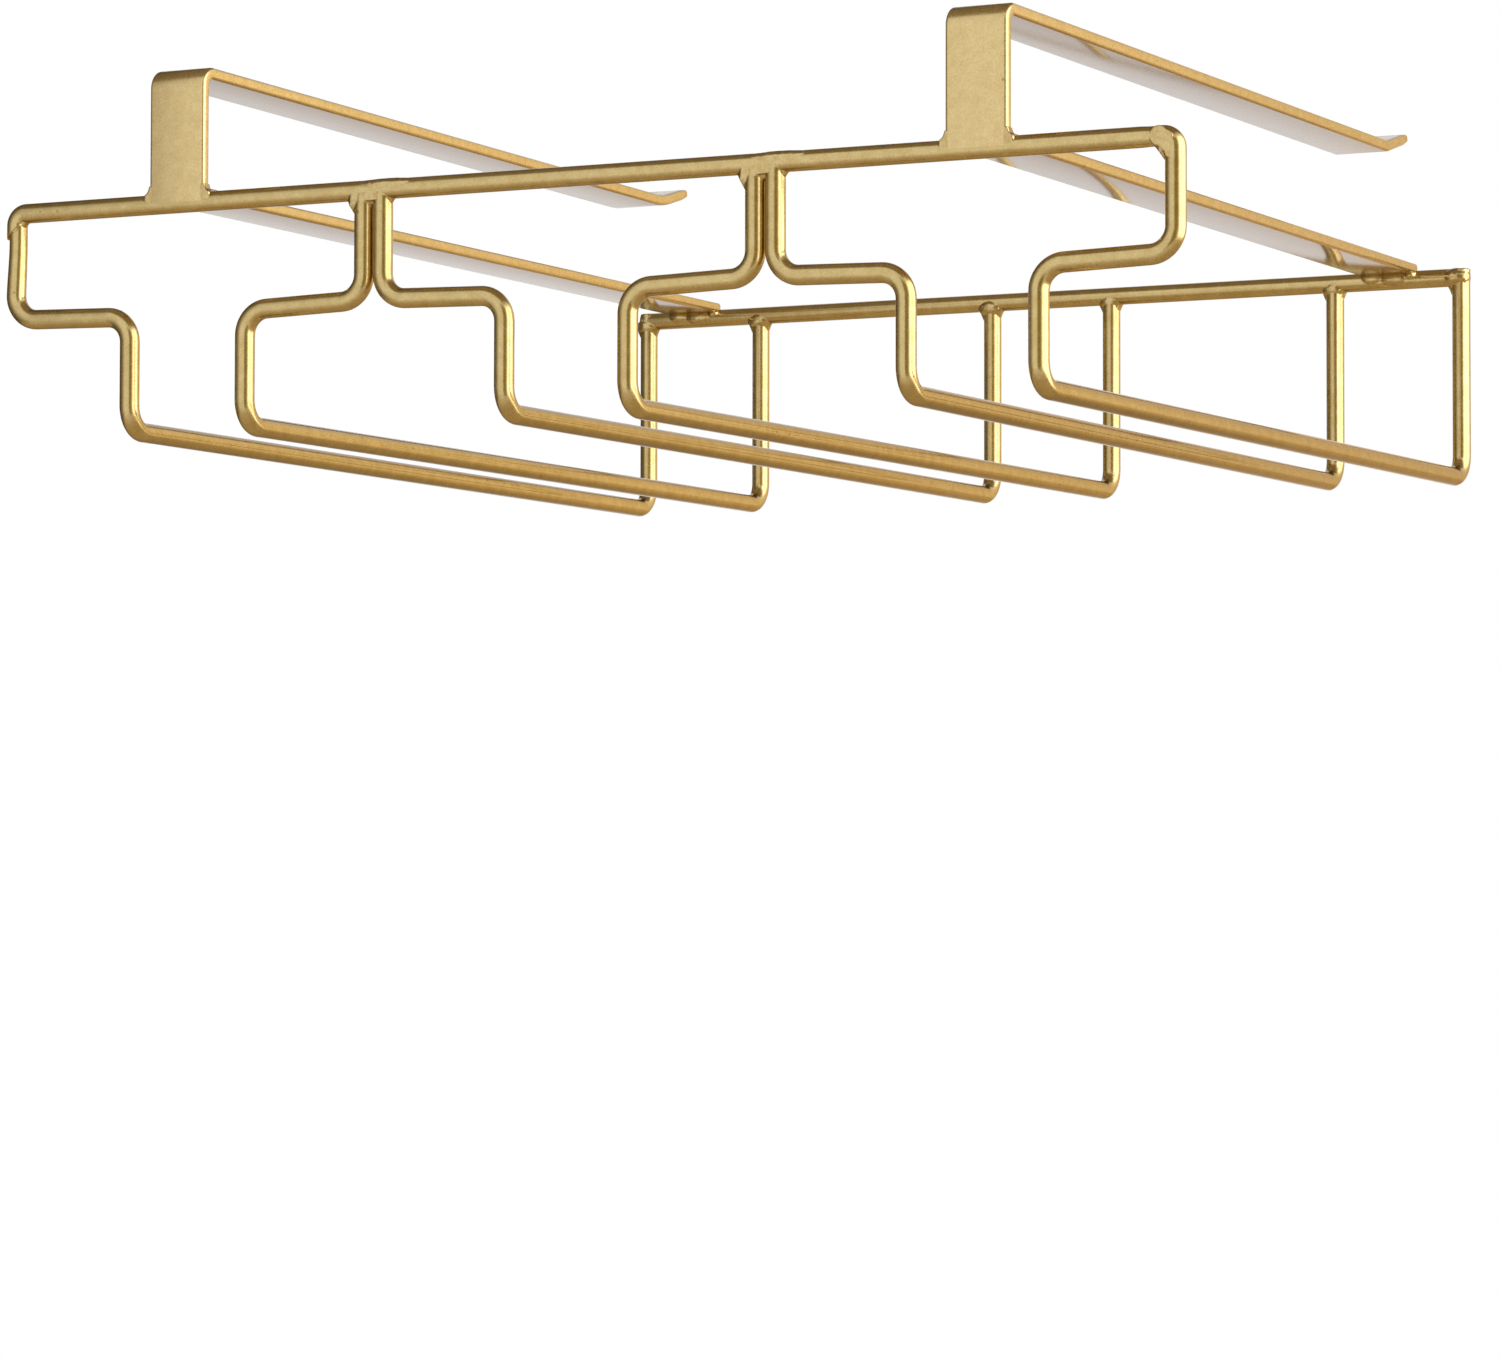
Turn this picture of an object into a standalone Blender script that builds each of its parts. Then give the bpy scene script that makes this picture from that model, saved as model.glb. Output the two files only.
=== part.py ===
"""Hanging wine glass rack: welded gold wire and flat strip, three slots, slides over a shelf board.

Metres, +Z up, +Y from the front of the shelf to its back, +X to the right of someone who faces the shelf.
The origin is where the top front edge of the shelf board sits, half way between the two clips: Y is zero on
the back of the clips' front plates, and Z is zero on the underside of their upper strips, at the front.
"""

import math

import bmesh
import bpy
from mathutils import Matrix, Vector

# Round wire
ROD_DIAMETER = 0.0050
BEND_INNER = 0.0040           # inner radius of every bend in a rail wire
CORNER_INNER = 0.0005         # inner radius of the two tight bends at the front corners
BAR_END_TAIL = 0.0015         # the front bar's left end turns down, and runs on this far past its bend
WIRE_TOP_TAIL = 0.0025        # the last wire's top turns to the bar's right end, this far past its bend
REAR_BAR_OVERHANG = 0.0022    # rear bar past the centre line of the outer posts
ROD_END_ROUND = 0.0010        # rounding of the rear bar's open ends

# Layout of the rack
SLOT_COUNT = 3
SLOT_PITCH = 0.1080           # centre to centre of neighbouring slots
STEM_SLOT_FRONT = 0.0290      # clear width between two rails at the front
STEM_SLOT_REAR = 0.0320       # the same at the rear
MIDDLE_REAR_SHIFT = 0.0034    # the middle slot runs this far to the right on its way back
RACK_DEPTH = 0.2800           # front bar to rear bar, centre to centre
JOG_DEPTH = 0.0270            # front bar down to the outer end of a jog, centre to centre
JOG_FALL = 0.0009             # a jog's inner end below its outer end
RAIL_DEPTH = 0.0565           # front bar down to the rails, centre to centre
REAR_BAR_DROP = 0.0010        # rear bar below the front bar

# Flat strip and clips
STRIP_WIDTH = 0.0160
STRIP_THICKNESS = 0.0030
STRIP_EDGE = 0.0004           # rounding of the strip's long edges
CLIP_OFFSET = 0.0020          # middle of a clip, outside the middle of the outer slot that it stands over
CLIP_OPENING = 0.0275         # lower strip to upper strip, clear height at the front
CLIP_BEND_INNER = 0.0020      # inner radius of the bend at the top of the front plate
LEFT_UPPER_REACH = 0.2430     # front plate's back to the bend of the lip, clip by clip
RIGHT_UPPER_REACH = 0.2470
LEFT_UPPER_FALL = 0.0034      # a clip closes by this much towards its lip, and so grips the board
RIGHT_UPPER_FALL = 0.0008
LIP_REACH = 0.0143
LIP_RISE = 0.0039
LIP_BEND_INNER = 0.0040
STRIP_STAND = 0.0010          # lower strip's top above the top of the front bar
LEFT_STRIP_LEAN = 0.0012      # lower strip's rear end to the left of its front end, clip by clip
RIGHT_STRIP_LEAN = 0.0045
STRIP_OVERHANG = 0.0013       # lower strip past the centre line of the rear bar

# Welds
FIT_GAP = 0.0003              # left between neighbouring solids
FILLET_WIDTH = 0.0022         # along the front bar, from the side of a leg
FILLET_HEIGHT = 0.0036        # down the leg, from the underside of the front bar
FILLET_INSET = 0.0007         # each face of a fillet, behind the sides of the rods
FILLET_TIP = 0.0003           # thickness left where a fillet runs out
FILLET_SHARES = (0.5, 0.9, 0.5, 1.0, 0.7, 1.1)   # how full the fillet of each wire is, left to right
BALL_DEPTH = 0.0056           # weld ball where a rear post meets the rear bar, front to back
BALL_SIDE = 0.0014            # ball past each side of the post
BALL_FRONT = 0.0019           # ball past the front of the post
BALL_DROP = 0.0031            # ball below the underside of the rear bar
BALL_TOP = 0.0011             # ball's top below the top of the rear bar
PLATE_FILLET = 0.0014         # corner fillet between a front plate and the front bar
BEAD_LENGTH = 0.0120          # bead under each end of a lower strip
BEAD_DEPTH = 0.0032
BEAD_HEIGHT = 0.0030
BEAD_OUT = 0.0004             # bead's centre off the side of the bar, under the strip
BEAD_BELOW = 0.0008           # bead's centre below the strip's underside

# Fineness of the meshes
ROD_RESOLUTION = 4            # a curve's bevel resolution: 12 sides
CUTTER_SIDES = 16
BALL_SEGMENTS = 12
BALL_RINGS = 8
ARC_STEP = math.radians(18)
HOLLOW_STEPS = 4              # pieces of a fillet's hollow curve
EDGE_SEGMENTS = 2             # pieces of a rounded edge
EDGE_ANGLE = math.radians(50)      # edges sharper than this are rounded
SMOOTH_ANGLE = math.radians(35)    # edges blunter than this are shaded smooth
MERGE_DISTANCE = 0.0000001

# Derived sizes
ROD_RADIUS = ROD_DIAMETER / 2
CUT_RADIUS = ROD_RADIUS + FIT_GAP
BEND_RADIUS = ROD_RADIUS + BEND_INNER
CORNER_RADIUS = ROD_RADIUS + CORNER_INNER
BAR_END_DROP = CORNER_RADIUS + BAR_END_TAIL
WIRE_TOP_REACH = CORNER_RADIUS + WIRE_TOP_TAIL
LOWER_TOP = -CLIP_OPENING
LOWER_UNDER = LOWER_TOP - STRIP_THICKNESS
FRONT_Y = -STRIP_THICKNESS + ROD_RADIUS
FRONT_Z = LOWER_TOP - STRIP_STAND - ROD_RADIUS
REAR_Y = FRONT_Y + RACK_DEPTH
REAR_Z = FRONT_Z - REAR_BAR_DROP
JOG_OUTER_Z = FRONT_Z - JOG_DEPTH
JOG_INNER_Z = JOG_OUTER_Z - JOG_FALL
RAIL_Z = FRONT_Z - RAIL_DEPTH
OUTER_SLOT_X = SLOT_PITCH * (SLOT_COUNT - 1) / 2
CLIP_X = OUTER_SLOT_X + CLIP_OFFSET
LEG_X = SLOT_PITCH / 2 - ROD_RADIUS - FIT_GAP / 2
DROP_X = STEM_SLOT_FRONT / 2 + ROD_RADIUS
POST_X = STEM_SLOT_REAR / 2 + ROD_RADIUS
OUTER_LEG_X = OUTER_SLOT_X + LEG_X
OUTER_POST_X = OUTER_SLOT_X + POST_X
RACK_SPAN = 2 * OUTER_LEG_X + ROD_DIAMETER

# Satin gold paint, as linear red, green and blue
GOLD = (0.58, 0.42, 0.14, 1.0)
GOLD_ROUGHNESS = 0.38
GOLD_METALLIC = 0.85


def clear_scene():
    """Remove whatever the file opened with."""
    for old in list(bpy.data.objects):
        bpy.data.objects.remove(old, do_unlink=True)


def gold(name):
    """Make the satin gold of one piece."""
    material = bpy.data.materials.new(name + "_gold")
    material.use_nodes = True
    shader = material.node_tree.nodes["Principled BSDF"]
    shader.inputs["Base Color"].default_value = GOLD
    shader.inputs["Roughness"].default_value = GOLD_ROUGHNESS
    shader.inputs["Metallic"].default_value = GOLD_METALLIC
    return material


def add_piece(name, mesh, place=(0, 0, 0)):
    """Put a mesh into the scene as one named piece."""
    mesh.name = name
    mesh.materials.clear()
    mesh.materials.append(gold(name))
    mesh.shade_smooth()
    mesh.set_sharp_from_angle(angle=SMOOTH_ANGLE)
    piece = bpy.data.objects.new(name, mesh)
    piece.location = place
    bpy.context.collection.objects.link(piece)
    return piece


def mesh_from(build):
    """Fill a new mesh with what build(bm) models, all faces pointing out."""
    bm = bmesh.new()
    build(bm)
    bmesh.ops.remove_doubles(bm, verts=bm.verts[:], dist=MERGE_DISTANCE)
    bmesh.ops.recalc_face_normals(bm, faces=bm.faces[:])
    mesh = bpy.data.meshes.new("mesh")
    bm.to_mesh(mesh)
    bm.free()
    return mesh


def rounded_path(corners, radii):
    """Run through the corners in straight lines, with an arc of the given radius at each inner one."""
    points = [corners[0]]
    for before, corner, after, radius in zip(corners, corners[1:], corners[2:], radii):
        into = (corner - before).normalized()
        out = (after - corner).normalized()
        turn = into.angle(out)
        start = corner - into * radius * math.tan(turn / 2)
        centre = corner + (out - into).normalized() * radius / math.cos(turn / 2)
        axis = into.cross(out).normalized()
        steps = max(2, math.ceil(turn / ARC_STEP))
        for k in range(steps + 1):
            points.append(centre + Matrix.Rotation(turn * k / steps, 3, axis) @ (start - centre))
    points.append(corners[-1])
    return points


def rod_mesh(path, radius=ROD_RADIUS):
    """Sweep the round wire, or the space round it, along a path, with closed ends."""
    curve = bpy.data.curves.new("rod", "CURVE")
    curve.dimensions = "3D"
    curve.bevel_depth = radius
    curve.bevel_resolution = ROD_RESOLUTION
    curve.use_fill_caps = True
    spline = curve.splines.new("POLY")
    spline.points.add(len(path) - 1)
    for point, place in zip(spline.points, path):
        point.co = (*place, 1)
    holder = bpy.data.objects.new("rod", curve)
    bpy.context.collection.objects.link(holder)
    swept = bpy.data.meshes.new_from_object(holder.evaluated_get(bpy.context.evaluated_depsgraph_get()))
    bpy.data.objects.remove(holder, do_unlink=True)
    return mesh_from(lambda bm: bm.from_mesh(swept))


def prism_mesh(outline, half_depth, flat_axis):
    """Extrude a closed outline of (u, v) points both ways from its plane.

    With flat_axis "X" the outline lies in Y and Z, and with "Y" in X and Z.
    """
    def build(bm):
        if flat_axis == "X":
            corners = [bm.verts.new((-half_depth, u, v)) for u, v in outline]
            travel = Vector((2 * half_depth, 0, 0))
        else:
            corners = [bm.verts.new((u, -half_depth, v)) for u, v in outline]
            travel = Vector((0, 2 * half_depth, 0))
        face = bm.faces.new(corners)
        grown = bmesh.ops.extrude_face_region(bm, geom=[face])
        moved = [item for item in grown["geom"] if isinstance(item, bmesh.types.BMVert)]
        bmesh.ops.translate(bm, verts=moved, vec=travel)
    return mesh_from(build)


def ball_mesh(width, depth, height):
    """Make a ball stretched to the given sizes."""
    def build(bm):
        bmesh.ops.create_uvsphere(bm, u_segments=BALL_SEGMENTS, v_segments=BALL_RINGS, radius=1)
        bmesh.ops.scale(bm, verts=bm.verts[:], vec=(width / 2, depth / 2, height / 2))
    return mesh_from(build)


def add_cutter(name, mesh, place):
    """Add a hidden solid that other pieces are cut by."""
    cutter = bpy.data.objects.new(name, mesh)
    cutter.location = place
    cutter.hide_render = True
    cutter.display_type = "WIRE"
    bpy.context.collection.objects.link(cutter)
    return cutter


def rod_cutter(name, length, axis, place):
    """Make the space round a straight rod along X or Z, the fit gap included."""
    turn = Matrix.Rotation(math.radians(90), 3, "Y") if axis == "X" else Matrix.Identity(3)

    def build(bm):
        bmesh.ops.create_cone(bm, cap_ends=True, segments=CUTTER_SIDES, radius1=CUT_RADIUS,
                              radius2=CUT_RADIUS, depth=length)
        bmesh.ops.rotate(bm, verts=bm.verts[:], cent=(0, 0, 0), matrix=turn)
    return add_cutter(name, mesh_from(build), place)


def cut(piece, *cutters):
    """Cut a piece by each of the cutters."""
    for cutter in cutters:
        change = piece.modifiers.new("cut_" + cutter.name, "BOOLEAN")
        change.operation = "DIFFERENCE"
        change.solver = "EXACT"
        change.object = cutter


def round_edges(piece, width):
    """Round the sharp edges of a piece."""
    change = piece.modifiers.new("edges", "BEVEL")
    change.width = width
    change.segments = EDGE_SEGMENTS
    change.limit_method = "ANGLE"
    change.angle_limit = EDGE_ANGLE


def hollow_curve(start, end, corner):
    """Draw the hollow curve of a fillet from start to end, pulled towards the corner."""
    points = []
    for k in range(HOLLOW_STEPS + 1):
        t = k / HOLLOW_STEPS
        points.append(tuple((1 - t) ** 2 * a + 2 * t * (1 - t) * c + t ** 2 * b
                            for a, b, c in zip(start, end, corner)))
    return points


def build_bars():
    """Make the front bar, with its left end turned down, and the straight rear bar."""
    start = Vector((-OUTER_LEG_X, FRONT_Y, FRONT_Z - BAR_END_DROP))
    turn = Vector((-OUTER_LEG_X, FRONT_Y, FRONT_Z))
    end = Vector((OUTER_LEG_X - WIRE_TOP_REACH - FIT_GAP, FRONT_Y, FRONT_Z))
    add_piece("front_bar", rod_mesh(rounded_path([start, turn, end], [CORNER_RADIUS])))
    half = OUTER_POST_X + REAR_BAR_OVERHANG
    ends = [Vector((-half, REAR_Y, REAR_Z)), Vector((half, REAR_Y, REAR_Z))]
    rear_bar = add_piece("rear_bar", rod_mesh(ends))
    round_edges(rear_bar, ROD_END_ROUND)


def wire_path(side, number, post_x):
    """Give the centre line of one rail wire, about the middle of its slot.

    The leg hangs from the front bar, jogs in towards the slot, drops, runs back as the rail and rises to the
    rear bar. side is -1 for the wire on the left of its slot and 1 for the one on the right.
    """
    leg_top = Vector((side * LEG_X, FRONT_Y, FRONT_Z))
    corners = [leg_top,
               Vector((side * LEG_X, FRONT_Y, JOG_OUTER_Z)),
               Vector((side * DROP_X, FRONT_Y, JOG_INNER_Z)),
               Vector((side * DROP_X, FRONT_Y, RAIL_Z)),
               Vector((post_x, REAR_Y, RAIL_Z)),
               Vector((post_x, REAR_Y, REAR_Z))]
    radii = [BEND_RADIUS] * 4
    if number == 1:
        corners[0] = leg_top - Vector((0, 0, BAR_END_DROP + FIT_GAP))
    if number == 2 * SLOT_COUNT:
        corners.insert(0, leg_top - Vector((WIRE_TOP_REACH, 0, 0)))
        radii.insert(0, CORNER_RADIUS)
    return rounded_path(corners, radii)


def build_wires(front_cutter, rear_cutter):
    """Make the six rail wires, two to a slot, each end cut to the bar that it is welded to."""
    for slot in range(SLOT_COUNT):
        centre = Vector((slot * SLOT_PITCH - OUTER_SLOT_X, 0, 0))
        shift = MIDDLE_REAR_SHIFT if slot == SLOT_COUNT // 2 else 0
        for side in (-1, 1):
            number = 2 * slot + (1 if side < 0 else 2)
            post_x = side * POST_X + shift
            wire = add_piece(f"rail_wire_{number}", rod_mesh(wire_path(side, number, post_x)), centre)
            cut(wire, rear_cutter)
            joint = centre + Vector((side * LEG_X, FRONT_Y, FRONT_Z))
            if number in (1, 2 * SLOT_COUNT):
                build_corner_weld(number, side, joint)
            else:
                cut(wire, front_cutter)
                build_leg_weld(number, side, joint, front_cutter)
            build_post_weld(number, centre + Vector((post_x, REAR_Y, REAR_Z)), rear_cutter)


def fillet_mesh(number, side, bend):
    """Model the fillet in the corner between the front bar and one leg, on the slot's side of the leg.

    bend is the radius of the wire's own bend there, or 0 where the leg butts against the bar.
    """
    share = FILLET_SHARES[(number - 1) % len(FILLET_SHARES)]
    diagonal = math.cos(math.radians(45))
    root = bend * (1 - diagonal)
    near = max(CUT_RADIUS, root + CUT_RADIUS * diagonal) + FILLET_TIP
    reach = max(CUT_RADIUS, bend) + FILLET_WIDTH * share
    drop = max(CUT_RADIUS, bend) + FILLET_HEIGHT * share
    hollow = hollow_curve((reach, -near), (near, -drop), (near, -near))
    outline = [(-side * u, v) for u, v in [(root, -root), (reach, -root)] + hollow + [(root, -drop)]]
    return prism_mesh(outline, ROD_RADIUS - FILLET_INSET, "Y")


def build_leg_weld(number, side, joint, front_cutter):
    """Make the fillet between the front bar and a leg that butts against it."""
    weld = add_piece(f"weld_front_{number}", fillet_mesh(number, side, 0), joint)
    leg_cutter = rod_cutter(f"cutter_leg_{number}", 2 * JOG_DEPTH, "Z", joint)
    cut(weld, front_cutter, leg_cutter)


def build_corner_weld(number, side, joint):
    """Make the fillet inside one of the two front corners, where the bar and the leg meet in a bend."""
    weld = add_piece(f"weld_front_{number}", fillet_mesh(number, side, CORNER_RADIUS), joint)
    bend = [Vector((0, 0, -JOG_DEPTH)), Vector((0, 0, 0)), Vector((-side * JOG_DEPTH, 0, 0))]
    corner_cutter = add_cutter(f"cutter_corner_{number}",
                               rod_mesh(rounded_path(bend, [CORNER_RADIUS]), CUT_RADIUS), joint)
    cut(weld, corner_cutter)


def build_post_weld(number, joint, rear_cutter):
    """Make the ball of weld on the front of the joint between a rear post and the rear bar."""
    forward = ROD_RADIUS + BALL_FRONT - BALL_DEPTH / 2
    place = joint - Vector((0, forward, (BALL_DROP + BALL_TOP) / 2))
    mesh = ball_mesh(ROD_DIAMETER + 2 * BALL_SIDE, BALL_DEPTH, ROD_DIAMETER + BALL_DROP - BALL_TOP)
    weld = add_piece(f"weld_rear_{number}", mesh, place)
    post_cutter = rod_cutter(f"cutter_post_{number}", RAIL_DEPTH, "Z", joint)
    cut(weld, rear_cutter, post_cutter)


def clip_outline(reach, drop):
    """Draw a clip from the side, in Y and Z: front plate, bend, upper strip and the lip at its end.

    The upper strip falls by drop on its way back to the lip's bend at reach.
    """
    inner = [Vector((0, 0, FRONT_Z)), Vector((0, 0, 0)), Vector((0, reach, -drop)),
             Vector((0, reach + LIP_REACH, LIP_RISE - drop))]
    under = rounded_path(inner, [CLIP_BEND_INNER, LIP_BEND_INNER + STRIP_THICKNESS])
    runs = [(after - before).normalized() for before, after in zip(under, under[1:])]
    over = []
    for point, into, onward in zip(under, runs[:1] + runs, runs + runs[-1:]):
        along = (into + onward).normalized()
        out = Vector((0, -along.z, along.y))
        over.append(point + out * STRIP_THICKNESS / math.cos(into.angle(onward) / 2))
    return [(p.y, p.z) for p in under] + [(p.y, p.z) for p in reversed(over)]


def build_plate_fillet(name, side, clip_x, front_cutter):
    """Make the small fillet between one side of a front plate and the top of the front bar."""
    rise = CUT_RADIUS + PLATE_FILLET
    near = CUT_RADIUS + FILLET_TIP
    hollow = hollow_curve((PLATE_FILLET, near), (FILLET_TIP, rise), (FILLET_TIP, near))
    outline = [(side * u, v) for u, v in [(0, 0), (PLATE_FILLET, 0)] + hollow + [(0, rise)]]
    place = (clip_x + side * (STRIP_WIDTH / 2 + FIT_GAP), -STRIP_THICKNESS / 2, FRONT_Z)
    weld = add_piece(name, prism_mesh(outline, STRIP_THICKNESS / 2 - FILLET_TIP, "Y"), place)
    cut(weld, front_cutter)


def build_lower_strip(word, clip_x, lean, front_cutter, rear_cutter):
    """Make the flat strip that runs back under the board, with a bead of weld under each of its ends.

    It starts square against the back of the front bar, in line with its clip, and ends on top of the rear bar,
    further to the left by lean.
    """
    front = FRONT_Y + CUT_RADIUS
    length = REAR_Y + STRIP_OVERHANG - front
    outline = [(0, LOWER_UNDER), (length, LOWER_UNDER), (length, LOWER_TOP), (0, LOWER_TOP)]
    grown = [(-FIT_GAP, LOWER_UNDER - FIT_GAP), (length + FIT_GAP, LOWER_UNDER - FIT_GAP),
             (length + FIT_GAP, LOWER_TOP), (-FIT_GAP, LOWER_TOP)]
    place = (clip_x, front, 0)
    strip = add_piece(f"lower_strip_{word}", prism_mesh(outline, STRIP_WIDTH / 2, "X"), place)
    strip_cutter = add_cutter(f"cutter_strip_{word}", prism_mesh(grown, STRIP_WIDTH, "X"), place)
    for leaning in (strip, strip_cutter):
        leaning.rotation_euler.z = math.atan2(lean, length)
    round_edges(strip, STRIP_EDGE)
    cut(strip, front_cutter, rear_cutter)
    out = ROD_RADIUS + BEAD_OUT
    beads = (("front", clip_x, FRONT_Y + out, front_cutter), ("rear", clip_x - lean, REAR_Y - out, rear_cutter))
    for end, bead_x, bead_y, bar_cutter in beads:
        bead = add_piece(f"weld_strip_{end}_{word}", ball_mesh(BEAD_LENGTH, BEAD_DEPTH, BEAD_HEIGHT),
                         (bead_x, bead_y, LOWER_UNDER - BEAD_BELOW))
        cut(bead, bar_cutter, strip_cutter)


def build_clips(front_cutter, rear_cutter):
    """Make the two clips that slide over the shelf board, each with the lower strip behind it."""
    clips = (("left", -1, LEFT_UPPER_REACH, LEFT_UPPER_FALL, LEFT_STRIP_LEAN),
             ("right", 1, RIGHT_UPPER_REACH, RIGHT_UPPER_FALL, RIGHT_STRIP_LEAN))
    for word, side, reach, drop, lean in clips:
        clip_x = side * CLIP_X
        mesh = prism_mesh(clip_outline(reach, drop), STRIP_WIDTH / 2, "X")
        clip = add_piece(f"clip_{word}", mesh, (clip_x, 0, 0))
        round_edges(clip, STRIP_EDGE)
        cut(clip, front_cutter)
        build_plate_fillet(f"weld_plate_{word}_outer", side, clip_x, front_cutter)
        build_plate_fillet(f"weld_plate_{word}_inner", -side, clip_x, front_cutter)
        build_lower_strip(word, clip_x, lean, front_cutter, rear_cutter)


def main():
    """Build the whole rack."""
    clear_scene()
    front_cutter = rod_cutter("cutter_front_bar", 2 * RACK_SPAN, "X", (0, FRONT_Y, FRONT_Z))
    rear_cutter = rod_cutter("cutter_rear_bar", 2 * RACK_SPAN, "X", (0, REAR_Y, REAR_Z))
    build_bars()
    build_wires(front_cutter, rear_cutter)
    build_clips(front_cutter, rear_cutter)


main()
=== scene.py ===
"""Looks of a hanging wine glass rack: satin gold steel wire and flat strip, bent and welded by hand.

Metres, +Z up, +Y from the front of the shelf to its back, +X to the right of someone who faces the shelf. The
origin is on the shelf board's top front edge, half way between the two clips.
"""

from __future__ import annotations

import logging
import math
from collections.abc import Callable, Iterable, Sequence
from dataclasses import dataclass
from enum import Enum

import bmesh
import bpy
from mathutils import Matrix, Vector, noise


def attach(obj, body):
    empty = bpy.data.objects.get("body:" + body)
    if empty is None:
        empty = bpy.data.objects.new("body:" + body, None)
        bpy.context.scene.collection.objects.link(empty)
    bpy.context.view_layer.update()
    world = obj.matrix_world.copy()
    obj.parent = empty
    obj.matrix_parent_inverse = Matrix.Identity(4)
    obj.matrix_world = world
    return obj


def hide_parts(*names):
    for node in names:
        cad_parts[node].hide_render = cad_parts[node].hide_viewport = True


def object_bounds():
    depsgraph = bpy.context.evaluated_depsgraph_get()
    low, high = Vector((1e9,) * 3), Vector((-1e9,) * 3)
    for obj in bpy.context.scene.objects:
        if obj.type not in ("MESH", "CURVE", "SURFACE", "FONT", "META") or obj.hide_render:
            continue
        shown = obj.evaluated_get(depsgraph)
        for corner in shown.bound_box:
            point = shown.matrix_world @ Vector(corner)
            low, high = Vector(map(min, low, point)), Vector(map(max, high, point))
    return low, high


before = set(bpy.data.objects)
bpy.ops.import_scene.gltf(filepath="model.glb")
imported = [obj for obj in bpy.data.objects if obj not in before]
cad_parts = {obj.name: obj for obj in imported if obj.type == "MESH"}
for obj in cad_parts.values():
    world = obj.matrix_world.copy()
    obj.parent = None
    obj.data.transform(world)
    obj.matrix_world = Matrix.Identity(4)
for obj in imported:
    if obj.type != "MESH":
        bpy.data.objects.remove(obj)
CAD_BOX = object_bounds()

log = logging.getLogger("glass_rack")

BODY = "root"
MERGE_DISTANCE = 1e-7
SHARP_ANGLE = math.radians(40)
BEND_FACET = math.radians(6)
LEAST_FACETS = 3
WIRE_SIDES = 48
STUB_SIDES = 24
EDGE_FACETS = 5
MM_PER_M = 1000
# Blender's Mix node has one set of sockets per data type, and these are the numbers of its colours.
MIX_FROM, MIX_TO, MIX_RESULT = 6, 7, 2

Triple = tuple[float, float, float]
Placed = tuple[Triple, Triple]


class Side(Enum):
    """Left and right as someone who faces the shelf sees them, with the sign of X."""

    LEFT = -1
    RIGHT = 1

    @property
    def word(self) -> str:
        """The side as the pieces' names have it."""
        return self.name.lower()


class PlateEdge(Enum):
    """The two upright edges of a clip's front plate: away from the rack's middle, and towards it."""

    OUTER = 1
    INNER = -1


class StripEnd(Enum):
    """The two ends of a lower strip, with the sign of Y from the bar into the rack."""

    FRONT = 1
    REAR = -1


class Surface(Enum):
    """How the steel under the gold was made, which sets its grain."""

    DRAWN_WIRE = "drawn wire"
    ROLLED_STRIP = "rolled strip"
    WELD_BEAD = "weld bead"


@dataclass(frozen=True)
class RackSizes:
    """Sizes that the pieces share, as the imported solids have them.

    Only the wire is a little thinner than the solids' 5 mm, which keeps it inside their box.
    """

    rod: float = 0.00498
    bend_inner: float = 0.0040
    corner_inner: float = 0.0005
    slot_count: int = 3
    slot_pitch: float = 0.1080
    leg_x: float = 0.05135
    drop_x: float = 0.0170
    post_x: float = 0.0185
    middle_shift: float = 0.0034
    front_y: float = -0.0005
    front_z: float = -0.0310
    rear_y: float = 0.2795
    rear_z: float = -0.0320
    jog_outer_z: float = -0.0580
    jog_inner_z: float = -0.0589
    rail_z: float = -0.0875
    strip_width: float = 0.0160
    strip_thickness: float = 0.0030
    strip_edge: float = 0.0009
    clip_x: float = 0.1100
    lower_top: float = -0.0275

    @property
    def rod_radius(self) -> float:
        """Half the wire's thickness."""
        return self.rod / 2

    @property
    def bend_radius(self) -> float:
        """Radius of the wire's centre line in a bend."""
        return self.rod_radius + self.bend_inner

    @property
    def corner_radius(self) -> float:
        """Radius of the centre line in the two tight front corners."""
        return self.rod_radius + self.corner_inner

    def slot_centre(self, slot: int) -> float:
        """X of the middle of a slot, counted from the left."""
        return self.slot_pitch * (slot - (self.slot_count - 1) / 2)


SIZES = RackSizes()


def linear(hex_colour: str) -> tuple[float, float, float, float]:
    """Turn an sRGB hex value into linear red, green, blue and alpha.

    Args:
        hex_colour: six digits, with or without a leading hash.

    Returns:
        The colour as a shader socket takes it.
    """
    digits = hex_colour.lstrip("#")
    parts = [int(digits[k:k + 2], 16) / 255 for k in (0, 2, 4)]
    bent = [c / 12.92 if c <= 0.04045 else ((c + 0.055) / 1.055) ** 2.4 for c in parts]
    return (bent[0], bent[1], bent[2], 1.0)


def add_node(tree: bpy.types.NodeTree, kind: str, settings: dict[str, object] | None = None,
             values: dict[str | int, object] | None = None,
             links: dict[str | int, bpy.types.NodeSocket] | None = None) -> bpy.types.Node:
    """Add a node with its settings, its socket values and its links.

    Args:
        tree: node tree that the node goes into.
        kind: Blender's name of the node type.
        settings: properties of the node itself.
        values: default values of input sockets, by name or number.
        links: output sockets that feed input sockets, by name or number.

    Returns:
        The new node.
    """
    made = tree.nodes.new(kind)
    for name, value in (settings or {}).items():
        setattr(made, name, value)
    for key, value in (values or {}).items():
        made.inputs[key].default_value = value
    for key, source in (links or {}).items():
        tree.links.new(source, made.inputs[key])
    return made


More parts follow.
